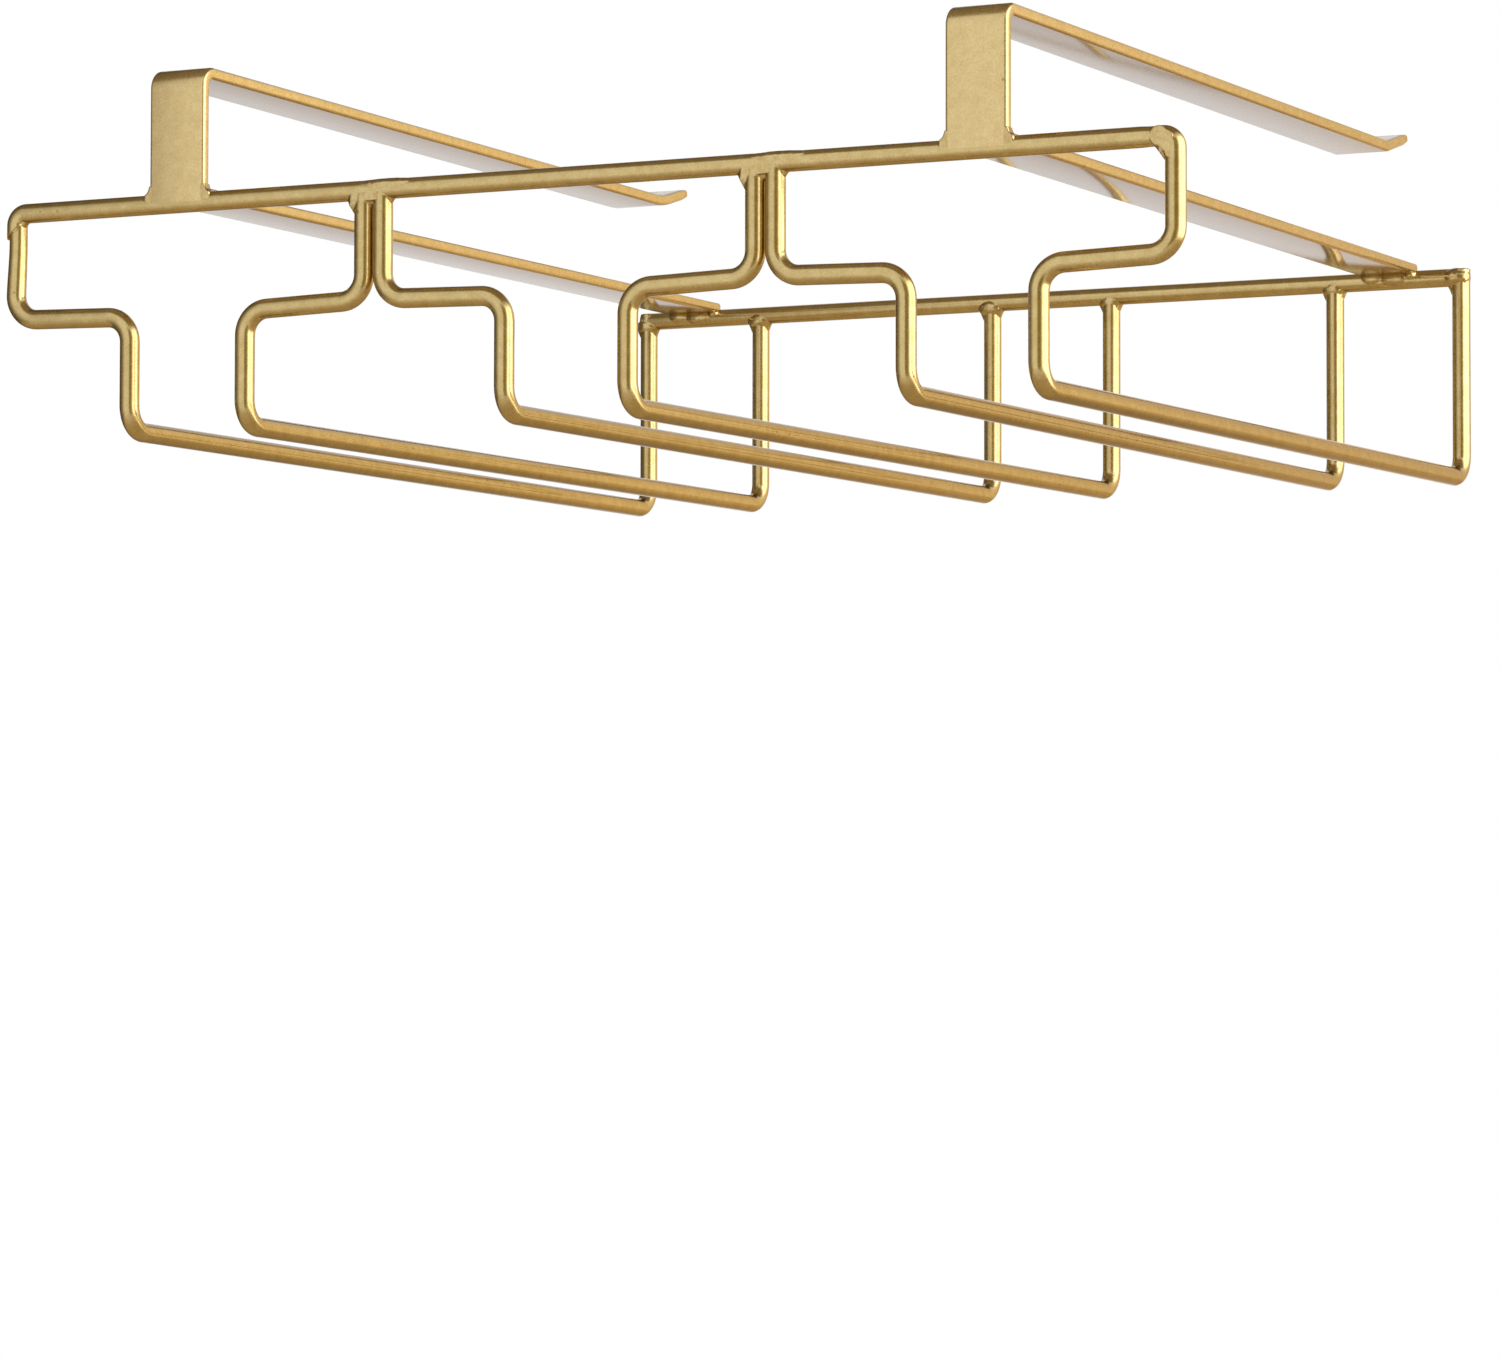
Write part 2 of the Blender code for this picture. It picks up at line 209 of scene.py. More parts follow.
@dataclass(frozen=True)
class SatinGold:
    """Satin gold lacquer sprayed over steel: a soft metal sheen under a thin clear skin.

    The lacquer levels badly on small parts, so the eye sees a fine orange peel, faint cloudy patches of thicker
    and thinner colour, and a few pits where the steel was rough.
    """

    surface: Surface
    light: str = "#CFB67A"
    deep: str = "#C5AA6A"
    pit: str = "#7A5B22"
    edge_tint: str = "#7A5C34"
    roughness: tuple[float, float] = (0.22, 0.26)
    peel_mm: float = 0.5
    peel_span: tuple[float, float] = (0.3, 0.7)
    peel_height_mm: float = 0.002
    grain_share: float = 0.11
    patch_mm: float = 3.0
    patch_span: tuple[float, float] = (0.35, 0.65)
    pit_mm: float = 2.6
    pit_share: float = 0.05
    pit_rim: tuple[float, float] = (0.04, 0.22)
    pit_depth_mm: float = 0.02
    pit_stain: float = 0.6
    coat: float = 1.0
    coat_roughness: float = 0.12

    def pits(self, tree: bpy.types.NodeTree, place: bpy.types.NodeSocket) -> bpy.types.NodeSocket:
        """Scatter the pits.

        Args:
            tree: the material's node tree.
            place: the point of the surface.

        Returns:
            A pattern that is 1 in the middle of a pit and 0 outside it.
        """
        # A cell pattern gives each pit its place, and its cell's random colour says whether it is there.
        cells = add_node(tree, "ShaderNodeTexVoronoi", values={"Scale": MM_PER_M / self.pit_mm},
                         links={"Vector": place})
        draw = add_node(tree, "ShaderNodeSeparateColor", links={"Color": cells.outputs["Color"]})
        chosen = add_node(tree, "ShaderNodeMath", {"operation": "LESS_THAN"}, {1: self.pit_share},
                          {0: draw.outputs["Red"]})
        near = add_node(tree, "ShaderNodeMapRange", {"interpolation_type": "SMOOTHSTEP"},
                        {"From Min": self.pit_rim[0], "From Max": self.pit_rim[1], "To Min": 1.0, "To Max": 0.0},
                        {"Value": cells.outputs["Distance"]})
        return add_node(tree, "ShaderNodeMath", {"operation": "MULTIPLY"},
                        links={0: chosen.outputs[0], 1: near.outputs[0]}).outputs[0]

    def colour(self, tree: bpy.types.NodeTree, place: bpy.types.NodeSocket, peel: bpy.types.NodeSocket,
               pits: bpy.types.NodeSocket) -> bpy.types.NodeSocket:
        """Mix the lacquer's colour.

        Args:
            tree: the material's node tree.
            place: the point of the surface.
            peel: the orange peel's pattern.
            pits: the pits' pattern.

        Returns:
            The colour: cloudy, browner in the pits, with a fine grain.
        """
        patch = add_node(tree, "ShaderNodeTexNoise", values={"Scale": MM_PER_M / self.patch_mm, "Detail": 3.0},
                         links={"Vector": place})
        clouds = add_node(tree, "ShaderNodeMapRange",
                          values={"From Min": self.patch_span[0], "From Max": self.patch_span[1]},
                          links={"Value": patch.outputs["Fac"]})
        body = add_node(tree, "ShaderNodeMix", {"data_type": "RGBA"},
                        {MIX_FROM: linear(self.light), MIX_TO: linear(self.deep)}, {0: clouds.outputs[0]})
        stain = add_node(tree, "ShaderNodeMath", {"operation": "MULTIPLY"}, {1: self.pit_stain}, {0: pits})
        pitted = add_node(tree, "ShaderNodeMix", {"data_type": "RGBA"}, {MIX_TO: linear(self.pit)},
                          {0: stain.outputs[0], MIX_FROM: body.outputs[MIX_RESULT]})
        # The metal flakes in the lacquer lie unevenly, which gives the flat faces a fine light and dark grain.
        flakes = add_node(tree, "ShaderNodeMapRange",
                          values={"From Min": self.peel_span[0], "From Max": self.peel_span[1],
                                  "To Min": 1 - self.grain_share, "To Max": 1 + self.grain_share},
                          links={"Value": peel})
        return add_node(tree, "ShaderNodeVectorMath", {"operation": "SCALE"},
                        links={0: pitted.outputs[MIX_RESULT], "Scale": flakes.outputs[0]}).outputs[0]

    def relief(self, tree: bpy.types.NodeTree, peel: bpy.types.NodeSocket,
               pits: bpy.types.NodeSocket) -> bpy.types.NodeSocket:
        """Raise the orange peel and sink the pits.

        Args:
            tree: the material's node tree.
            peel: the orange peel's pattern.
            pits: the pits' pattern.

        Returns:
            The bumpy surface's normal.
        """
        raised = add_node(tree, "ShaderNodeMath", {"operation": "MULTIPLY"}, {1: self.peel_height_mm / MM_PER_M},
                          {0: peel})
        sunk = add_node(tree, "ShaderNodeMath", {"operation": "MULTIPLY"}, {1: self.pit_depth_mm / MM_PER_M},
                        {0: pits})
        height = add_node(tree, "ShaderNodeMath", {"operation": "SUBTRACT"},
                          links={0: raised.outputs[0], 1: sunk.outputs[0]})
        return add_node(tree, "ShaderNodeBump", values={"Strength": 1.0, "Distance": 1.0},
                        links={"Height": height.outputs[0]}).outputs[0]

    def material(self) -> bpy.types.Material:
        """Build the node material.

        Returns:
            The material, ready to share among the pieces of one kind.
        """
        made = bpy.data.materials.new("satin_gold_" + self.surface.name.lower())
        made.use_nodes = True
        tree = made.node_tree
        place = add_node(tree, "ShaderNodeTexCoord").outputs["Object"]
        peel = add_node(tree, "ShaderNodeTexNoise",
                        values={"Scale": MM_PER_M / self.peel_mm, "Detail": 2.0, "Roughness": 0.6},
                        links={"Vector": place}).outputs["Fac"]
        pits = self.pits(tree, place)
        satin = add_node(tree, "ShaderNodeMapRange",
                         values={"From Min": self.peel_span[0], "From Max": self.peel_span[1],
                                 "To Min": self.roughness[0], "To Max": self.roughness[1]},
                         links={"Value": peel})
        shader = tree.nodes["Principled BSDF"]
        tree.links.new(self.colour(tree, place, peel, pits), shader.inputs["Base Color"])
        tree.links.new(satin.outputs[0], shader.inputs["Roughness"])
        tree.links.new(self.relief(tree, peel, pits), shader.inputs["Normal"])
        shader.inputs["Metallic"].default_value = 1.0
        shader.inputs["Specular Tint"].default_value = linear(self.edge_tint)
        shader.inputs["Coat Weight"].default_value = self.coat
        shader.inputs["Coat Roughness"].default_value = self.coat_roughness
        return made


class Finishes:
    """The rack's three finishes, each made once and shared."""

    def __init__(self) -> None:
        """Make the three materials."""
        self.wire = SatinGold(Surface.DRAWN_WIRE).material()
        # Rolled strip is flat, so its peel shows as a finer, flatter grain than on the wire.
        self.strip = SatinGold(Surface.ROLLED_STRIP, light="#DBC186", deep="#D3B87B", roughness=(0.26, 0.34),
                               peel_mm=0.45, grain_share=0.12).material()
        # Weld metal stays coarse under the lacquer, and the heat leaves it a little browner.
        self.weld = SatinGold(Surface.WELD_BEAD, light="#CFB67A", deep="#BFA264", peel_mm=0.6,
                              peel_height_mm=0.009, pit_mm=1.4, pit_share=0.2, patch_mm=2.0).material()


def add_piece(name: str, mesh: bpy.types.Mesh, material: bpy.types.Material, node: str) -> None:
    """Show a finished mesh as a piece of the rack, riding on its one body.

    Args:
        name: the piece's name.
        mesh: its mesh, in the rack's frame.
        material: its finish.
        node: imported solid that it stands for.
    """
    mesh.name = name
    mesh.materials.clear()
    mesh.materials.append(material)
    mesh.shade_smooth()
    mesh.set_sharp_from_angle(angle=SHARP_ANGLE)
    piece = bpy.data.objects.new(name, mesh)
    bpy.context.scene.collection.objects.link(piece)
    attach(piece, BODY)
    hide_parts(node)
    log.info("%s: %d faces", name, len(mesh.polygons))


def mesh_from(build: Callable[[bmesh.types.BMesh], None]) -> bpy.types.Mesh:
    """Model into a new mesh, then merge doubles and turn all faces out.

    Args:
        build: fills the empty bmesh that it is given.

    Returns:
        The mesh.
    """
    bm = bmesh.new()
    build(bm)
    bmesh.ops.remove_doubles(bm, verts=bm.verts[:], dist=MERGE_DISTANCE)
    bmesh.ops.recalc_face_normals(bm, faces=bm.faces[:])
    mesh = bpy.data.meshes.new("mesh")
    bm.to_mesh(mesh)
    bm.free()
    return mesh


def new_parts(result: dict[str, list], key: str = "geom") -> tuple[list, list]:
    """Pick the new end of a section's way out of an operator's result.

    Args:
        result: what the operator gave back.
        key: which part of it lists the geometry.

    Returns:
        The new vertices, and the edges that lie wholly among them.
    """
    verts = [item for item in result[key] if isinstance(item, bmesh.types.BMVert)]
    known = set(verts)
    edges = [item for item in result[key] if isinstance(item, bmesh.types.BMEdge)
             and item.verts[0] in known and item.verts[1] in known]
    return verts, edges


class Sweep:
    """A section carried along straight runs and bends, as a bending machine feeds wire or strip."""

    def __init__(self, bm: bmesh.types.BMesh, face: bmesh.types.BMFace) -> None:
        """Start from the face that closes the first end.

        Args:
            bm: mesh that grows.
            face: section at the start.
        """
        self.bm = bm
        self.verts = list(face.verts)
        self.edges = list(face.edges)

    def grow(self) -> None:
        """Copy the section's edge ring and join it to the last one."""
        self.verts, self.edges = new_parts(bmesh.ops.extrude_edge_only(self.bm, edges=self.edges))

    def run(self, travel: Vector, rings: int = 1) -> None:
        """Feed the section straight on.

        Args:
            travel: how far and where to.
            rings: edge rings on the way, the last one included.
        """
        for _ in range(rings):
            self.grow()
            bmesh.ops.translate(self.bm, verts=self.verts, vec=travel / rings)

    def level(self, height: float) -> None:
        """Feed an upright section on until it is level at the given height.

        Args:
            height: its Z.
        """
        self.grow()
        for vert in self.verts:
            vert.co.z = height

    def bend(self, centre: Vector, axis: Vector, turn: float) -> None:
        """Bend the section's way.

        Args:
            centre: a point on the axis that it turns about.
            axis: the axis' direction.
            turn: angle of the bend.
        """
        result = bmesh.ops.spin(self.bm, geom=self.verts + self.edges, cent=centre, axis=axis, dvec=(0, 0, 0),
                                angle=turn, steps=max(LEAST_FACETS, math.ceil(turn / BEND_FACET)),
                                use_merge=False, use_normal_flip=False, use_duplicate=False)
        self.verts, self.edges = new_parts(result, "geom_last")

    def follow(self, corners: Sequence[Vector], radii: Sequence[float], first_rings: int = 1) -> None:
        """Go along corners in straight runs, with a bend at each inner one.

        Args:
            corners: where the centre line's straight runs meet, and its two ends.
            radii: the centre line's bend radius at each inner corner.
            first_rings: rings along the first straight run.
        """
        here = corners[0]
        rings = first_rings
        for before, corner, after, radius in zip(corners, corners[1:], corners[2:], radii):
            into = (corner - before).normalized()
            out = (after - corner).normalized()
            turn = into.angle(out)
            reach = radius * math.tan(turn / 2)
            centre = corner + (out - into).normalized() * radius / math.cos(turn / 2)
            self.run(corner - into * reach - here, rings)
            self.bend(centre, into.cross(out).normalized(), turn)
            here = corner + out * reach
            rings = 1
        self.run(corners[-1] - here, rings)

    def close(self) -> bmesh.types.BMFace:
        """Close the far end and return its face."""
        return bmesh.ops.contextual_create(self.bm, geom=self.edges)["faces"][0]


def round_section(bm: bmesh.types.BMesh, radius: float, start: Vector, towards: Vector,
                  sides: int = WIRE_SIDES) -> bmesh.types.BMFace:
    """Draw a wire's round section.

    Args:
        bm: mesh that it goes into.
        radius: the wire's radius.
        start: middle of the section.
        towards: a point that the wire runs to.
        sides: facets round the wire.

    Returns:
        The section's face.
    """
    turn = Vector((0, 0, 1)).rotation_difference((towards - start).normalized())
    matrix = Matrix.Translation(start) @ turn.to_matrix().to_4x4()
    made = bmesh.ops.create_circle(bm, cap_ends=True, radius=radius, segments=sides, matrix=matrix)
    return made["verts"][0].link_faces[0]


def flat_section(bm: bmesh.types.BMesh, sizes: RackSizes, start: Vector, towards: Vector) -> bmesh.types.BMFace:
    """Draw the strip's section, a rectangle with rounded corners that is wide along X.

    Args:
        bm: mesh that it goes into.
        sizes: the rack's sizes.
        start: middle of the section.
        towards: a point that the strip runs to.

    Returns:
        The section's face.
    """
    along = (towards - start).normalized()
    up = Vector((1, 0, 0)).cross(along).normalized()
    side = along.cross(up)
    matrix = Matrix.Translation(start) @ Matrix((side, up, along)).transposed().to_4x4()
    made = bmesh.ops.create_grid(bm, x_segments=1, y_segments=1, size=0.5, matrix=matrix @ Matrix.Diagonal(
        (sizes.strip_width, sizes.strip_thickness, 1, 1)))
    bmesh.ops.bevel(bm, geom=made["verts"], offset=sizes.strip_edge, offset_type="OFFSET", affect="VERTICES",
                    segments=EDGE_FACETS, profile=0.5, material=-1, clamp_overlap=True)
    return max(bm.faces, key=lambda face: len(face.verts))


def round_rims(bm: bmesh.types.BMesh, faces: Sequence[bmesh.types.BMFace], width: float, segments: int = 4) -> None:
    """Round the edges of end faces.

    Args:
        bm: the piece's mesh.
        faces: its end faces.
        width: how far in the rounding starts.
        segments: its facets.
    """
    bmesh.ops.bevel(bm, geom=[edge for face in faces for edge in face.edges], offset=width, offset_type="OFFSET",
                    affect="EDGES", segments=segments, profile=0.5, material=-1, clamp_overlap=True)


@dataclass(frozen=True)
class Neck:
    """A wire drawn in a little at one end, where another piece laps it or weld metal runs up to it.

    Length is how far the drawn-in part goes, fade how long the wire takes to come back to its full size, share the
    drawn-in radius as a share of the wire's, and shift how far the drawn-in part is moved aside. Margin is how much
    farther than that from the end's middle a point may lie and still be taken for a part of this end.
    """

    length: float
    fade: float
    share: float
    shift: Triple = (0.0, 0.0, 0.0)
    margin: float = 0.01

    def draw_in(self, bm: bmesh.types.BMesh, end: Vector, along: Vector) -> None:
        """Draw the wire in.

        Args:
            bm: the wire's mesh, with rings close enough together to follow the change.
            end: middle of the wire's end.
            along: unit vector from the end into the wire.
        """
        reach = self.length + self.fade
        for vert in bm.verts:
            offset = vert.co - end
            far = offset.dot(along)
            if far > reach or offset.length > reach + self.margin:
                continue
            part = min(1.0, max(0.0, (reach - far) / self.fade))
            part = part * part * (3 - 2 * part)
            vert.co += ((offset - along * far) * (self.share - 1) + Vector(self.shift)) * part


@dataclass
class FrontBar:
    """The round bar along the front: its left end turns down and laps the first leg.

    The lapped end is cut at a slant: lap_level below the bar's axis over the leg's middle, lap_slope higher for each
    metre to the right, and never less than lap_least below the axis. Its edge is rounded by seam.
    """

    sizes: RackSizes = SIZES
    lap_level: float = 0.0046
    lap_slope: float = 0.78
    lap_least: float = 0.00315
    right_end: float = 0.0032
    neck: Neck = Neck(length=0.0028, fade=0.0030, share=0.96)
    tail: float = 0.0116
    tail_rings: int = 20
    seam: float = 0.00035

    def model(self, bm: bmesh.types.BMesh) -> None:
        """Sweep the wire from the lap round the corner and along the front.

        Args:
            bm: the bar's empty mesh.
        """
        s = self.sizes
        left = -s.slot_centre(s.slot_count - 1) - s.leg_x
        corner = Vector((left, s.front_y, s.front_z))
        end = Vector((-left - self.right_end, s.front_y, s.front_z))
        first = round_section(bm, s.rod_radius, corner - Vector((0, 0, self.lap_level)), corner)
        # The lapped end is ground off at a slant, lowest at the rack's outer side.
        for vert in first.verts:
            slanted = -self.lap_level + self.lap_slope * (vert.co.x - left)
            vert.co.z = corner.z + min(slanted, -self.lap_least)
        sweep = Sweep(bm, first)
        bend_end = corner + Vector((s.corner_radius, 0, 0))
        bend_centre = bend_end - Vector((0, 0, s.corner_radius))
        sweep.level(bend_centre.z)
        sweep.bend(bend_centre, Vector((0, 1, 0)), math.pi / 2)
        # The far end has close rings, which the neck needs.
        tail = Vector((self.tail, 0, 0))
        sweep.run(end - tail - bend_end)
        sweep.run(tail, self.tail_rings)
        sweep.close()
        self.neck.draw_in(bm, end, Vector((-1, 0, 0)))
        round_rims(bm, [first], self.seam)

    def dress(self, finishes: Finishes) -> None:
        """Show the bar in wire gold."""
        add_piece("front_wire", mesh_from(self.model), finishes.wire, "front_bar")


@dataclass
class RearBar:
    """The straight round bar along the rear."""

    sizes: RackSizes = SIZES
    overhang: float = 0.0022
    end_round: float = 0.0010

    def model(self, bm: bmesh.types.BMesh) -> None:
        """Sweep the wire from end to end and round both ends.

        Args:
            bm: the bar's empty mesh.
        """
        s = self.sizes
        half = s.slot_centre(s.slot_count - 1) + s.post_x + self.overhang
        left, right = (Vector((x, s.rear_y, s.rear_z)) for x in (-half, half))
        first = round_section(bm, s.rod_radius, left, right)
        sweep = Sweep(bm, first)
        sweep.run(right - left)
        round_rims(bm, [first, sweep.close()], self.end_round, EDGE_FACETS)

    def dress(self, finishes: Finishes) -> None:
        """Show the bar in wire gold."""
        add_piece("rear_wire", mesh_from(self.model), finishes.wire, "rear_bar")


@dataclass
class RailWire:
    """One bent wire: leg, jog towards its slot, drop, rail to the rear and post up to the rear bar.

    The last wire's top turns over, and ends in a dome turned_tail along the bar. The other wires' tops lie below the
    bar's axis, by lapped_top under the lap and by welded_top elsewhere.
    """

    number: int
    sizes: RackSizes = SIZES
    turned_tail: float = 0.0044
    dome: float = 0.0007
    dome_facets: int = 6
    lapped_top: float = 0.0029
    lapped_neck: Neck = Neck(length=0.0040, fade=0.0160, share=0.92, shift=(0.00038, 0.00025, 0.0))
    welded_top: float = 0.0014
    welded_neck: Neck = Neck(length=0.0006, fade=0.0022, share=0.975)
    leg_rings: int = 20

    @property
    def slot(self) -> int:
        """The slot that the wire edges, counted from the left."""
        return (self.number - 1) // 2

    @property
    def side(self) -> int:
        """-1 on the left of its slot and 1 on the right."""
        return -1 if self.number % 2 else 1

    @property
    def leg(self) -> Vector:
        """Where the leg's centre line meets the front bar's."""
        s = self.sizes
        return Vector((s.slot_centre(self.slot) + self.side * s.leg_x, s.front_y, s.front_z))

    @property
    def post(self) -> Vector:
        """Where the post's centre line meets the rear bar's.

        Returns:
            The point, moved aside in the middle slot.
        """
        s = self.sizes
        shift = s.middle_shift if self.slot == s.slot_count // 2 else 0
        return Vector((s.slot_centre(self.slot) + self.side * s.post_x + shift, s.rear_y, s.rear_z))

    @property
    def turned_over(self) -> bool:
        """Whether the wire's top turns over to meet the front bar's end."""
        return self.number == 2 * self.sizes.slot_count

    @property
    def lapped(self) -> bool:
        """Whether the front bar's turned end laps the wire's top."""
        return self.number == 1

    @property
    def meets_next(self) -> bool:
        """Whether the next slot's first leg touches this one."""
        return self.side > 0 and not self.turned_over

    def corners(self) -> tuple[list[Vector], list[float]]:
        """Lay out the wire.

        Returns:
            The centre line's corners, and its bend radii at the inner ones.
        """
        s = self.sizes
        drop_x = s.slot_centre(self.slot) + self.side * s.drop_x
        corners = [self.leg, Vector((self.leg.x, s.front_y, s.jog_outer_z)),
                   Vector((drop_x, s.front_y, s.jog_inner_z)), Vector((drop_x, s.front_y, s.rail_z)),
                   Vector((self.post.x, s.rear_y, s.rail_z)), self.post]
        radii = [s.bend_radius] * 4
        if self.turned_over:
            corners.insert(0, self.leg - Vector((self.turned_tail, 0, 0)))
            radii.insert(0, s.corner_radius)
        else:
            corners[0] = self.leg - Vector((0, 0, self.lapped_top if self.lapped else self.welded_top))
        return corners, radii

    def model(self, bm: bmesh.types.BMesh) -> None:
        """Sweep the wire along its centre line and finish its front end.

        Args:
            bm: the wire's empty mesh.
        """
        corners, radii = self.corners()
        first = round_section(bm, self.sizes.rod_radius, corners[0], corners[1])
        sweep = Sweep(bm, first)
        sweep.follow(corners, radii, 1 if self.turned_over else self.leg_rings)
        sweep.close()
        if self.turned_over:
            round_rims(bm, [first], self.dome, self.dome_facets)
        else:
            neck = self.lapped_neck if self.lapped else self.welded_neck
            neck.draw_in(bm, corners[0], Vector((0, 0, -1)))

    def dress(self, finishes: Finishes) -> None:
        """Show the wire in wire gold."""
        add_piece(f"bent_wire_{self.number}", mesh_from(self.model), finishes.wire, f"rail_wire_{self.number}")


@dataclass
class Clip:
    """One clip of flat strip: front plate, sharp bend, upper strip over the board and a turned-up lip.

    The upper strip falls by fall over its reach. The lip rises by lip_rise over lip_reach, and is pressed to
    thin_share of its thickness over its last thin_length.
    """

    side: Side
    reach: float
    fall: float
    lip_radius: float
    sizes: RackSizes = SIZES
    bend_inner: float = 0.0020
    lip_reach: float = 0.0143
    lip_rise: float = 0.0039
    end_edge: float = 0.0003
    thin_length: float = 0.0030
    thin_share: float = 0.74

    def centre_line(self) -> list[Vector]:
        """Run through the middle of the strip, half a thickness outside the board's faces.

        Returns:
            The corners of the centre line, from the front plate's foot to the lip's end.
        """
        s = self.sizes
        inner = [Vector((0, s.front_z)), Vector((0, 0)), Vector((self.reach, -self.fall)),
                 Vector((self.reach + self.lip_reach, self.lip_rise - self.fall))]
        runs = [(after - before).normalized() for before, after in zip(inner, inner[1:])]
        line = []
        for point, into, onward in zip(inner, runs[:1] + runs, runs + runs[-1:]):
            along = (into + onward).normalized()
            moved = point + Vector((-along.y, along.x)) * s.strip_thickness / 2 / math.cos(into.angle(onward) / 2)
            line.append(Vector((self.side.value * s.clip_x, moved.x, moved.y)))
        return line

    def model(self, bm: bmesh.types.BMesh) -> None:
        """Sweep the strip, then press its lip thin at the end.

        Args:
            bm: the clip's empty mesh.
        """
        s = self.sizes
        line = self.centre_line()
        along = (line[3] - line[2]).normalized()
        thin = along * self.thin_length
        sweep = Sweep(bm, flat_section(bm, s, line[0], line[1]))
        sweep.follow([*line[:3], line[3] - thin], [self.bend_inner + s.strip_thickness / 2, self.lip_radius])
        sweep.run(thin)
        up = Vector((1, 0, 0)).cross(along)
        for vert in sweep.verts:
            vert.co -= up * (vert.co - line[3]).dot(up) * (1 - self.thin_share)
        round_rims(bm, [sweep.close()], self.end_edge)

    def dress(self, finishes: Finishes) -> None:
        """Show the clip in strip gold."""
        add_piece(f"board_clip_{self.side.word}", mesh_from(self.model), finishes.strip, f"clip_{self.side.word}")


@dataclass
class LowerStrip:
    """The straight flat strip under the board, from the front bar to the rear bar.

    It leans to the left by lean on its way back, and runs past the rear bar's axis by overhang.
    """

    side: Side
    lean: float
    sizes: RackSizes = SIZES
    overhang: float = 0.0013
    tip_edge: float = 0.0012
    tip_tail: float = 0.0030
    bury: float = 0.0006

    def ends(self) -> tuple[Vector, Vector]:
        """Find the middle of the strip at both ends.

        Returns:
            The front end, buried a little in the front bar, and the rear end.
        """
        s = self.sizes
        height = s.lower_top - s.strip_thickness / 2
        front = Vector((self.side.value * s.clip_x, s.front_y + s.rod_radius - self.bury, height))
        return front, Vector((front.x - self.lean, s.rear_y + self.overhang, height))

    def model(self, bm: bmesh.types.BMesh) -> None:
        """Sweep the strip and round the edges of its rear tip.

        Args:
            bm: the strip's empty mesh.
        """
        front, rear = self.ends()
        sweep = Sweep(bm, flat_section(bm, self.sizes, front, rear))
        # A ring near the tip keeps its rounding out of the long flat faces' shading.
        tail = (rear - front).normalized() * self.tip_tail
        sweep.run(rear - front - tail)
        sweep.run(tail)
        round_rims(bm, [sweep.close()], self.tip_edge)

    def dress(self, finishes: Finishes) -> None:
        """Show the strip in strip gold."""
        add_piece(f"under_strip_{self.side.word}", mesh_from(self.model), finishes.strip,
                  f"lower_strip_{self.side.word}")


@dataclass
class Stub:
    """A short round piece inside a weld, a little thinner than the wire that it follows."""

    start: Vector
    end: Vector
    radius: float

    def add(self, bm: bmesh.types.BMesh) -> None:
        """Model the stub.

        Args:
            bm: the weld's mesh.
        """
        sweep = Sweep(bm, round_section(bm, self.radius, self.start, self.end, STUB_SIDES))
        sweep.run(self.end - self.start)
        sweep.close()


def web(corner: Vector, along: Vector, up: Vector, radius: float, spare: float = 0.0010) -> Stub:
    """Bridge an inner corner with a slanting stub, whose side runs from one leg of the corner to the other.

    Args:
        corner: where the two parts meet.
        along: from the corner to the web's end on the first part.
        up: from the corner to its end on the second part.
        radius: the stub's radius.
        spare: how far the stub goes on into the parts.

    Returns:
        The stub.
    """
    start, end = corner + along, corner + up
    slant = (end - start).normalized() * spare
    sunk = -(along.normalized() * up.length + up.normalized() * along.length).normalized() * radius
    return Stub(start + sunk - slant, end + sunk + slant, radius)


@dataclass
class Blob:
    """A drop of weld metal."""

    centre: Vector
    size: Vector

    def add(self, bm: bmesh.types.BMesh) -> None:
        """Model the drop."""
        matrix = Matrix.Translation(self.centre) @ Matrix.Diagonal((*(self.size / 2), 1))
        bmesh.ops.create_icosphere(bm, subdivisions=3, radius=1, matrix=matrix)


@dataclass
class Block:
    """A square-edged filling, which melting rounds."""

    centre: Vector
    size: Vector

    def add(self, bm: bmesh.types.BMesh) -> None:
        """Model the filling."""
        matrix = Matrix.Translation(self.centre) @ Matrix.Diagonal((*self.size, 1))
        bmesh.ops.create_cube(bm, size=1, matrix=matrix)


@dataclass
class Wedge:
    """A filling over an outline drawn on the rack's front, as deep as given at each of its points."""

    outline: list[Vector]
    depths: list[float]

    def add(self, bm: bmesh.types.BMesh) -> None:
        """Model the filling's front face, then its back as the front's mirror image.

        Args:
            bm: the weld's mesh.
        """
        verts = [bm.verts.new(point - Vector((0, depth / 2, 0))) for point, depth in zip(self.outline, self.depths)]
        front = bmesh.ops.contextual_create(bm, geom=verts)["faces"]
        grown = bmesh.ops.extrude_face_region(bm, geom=front, use_keep_orig=True)
        for item in grown["geom"]:
            if isinstance(item, bmesh.types.BMVert):
                item.co.y = 2 * self.outline[0].y - item.co.y


@dataclass
class Fillet:
    """Weld metal in an inner corner, with a hollow front: a stack of steps that melting smooths."""

    corner: Vector
    along: Vector
    up: Vector
    depth: float
    hollow: float = 0.9
    bury: float = 0.0018
    steps: int = 10

    def add(self, bm: bmesh.types.BMesh) -> None:
        """Model the steps, each less wide and taller than the one before.

        Args:
            bm: the weld's mesh.
        """
        level, upright = self.along.normalized(), self.up.normalized()
        turn = Matrix((level, level.cross(upright), upright)).transposed().to_4x4()
        low = self.corner - (level + upright) * self.bury
        for step in range(self.steps):
            share = (step + 0.5) / self.steps
            height = self.hollow * (1 - math.sqrt(1 - (1 - share) ** 2)) + (1 - self.hollow) * (1 - share)
            size = self.corner + self.along * (step + 1) / self.steps + self.up * height - low
            box = Matrix.Diagonal((size.dot(level), self.depth, size.dot(upright), 1))
            bmesh.ops.create_cube(bm, size=1, matrix=Matrix.Translation(low + size / 2) @ turn @ box)


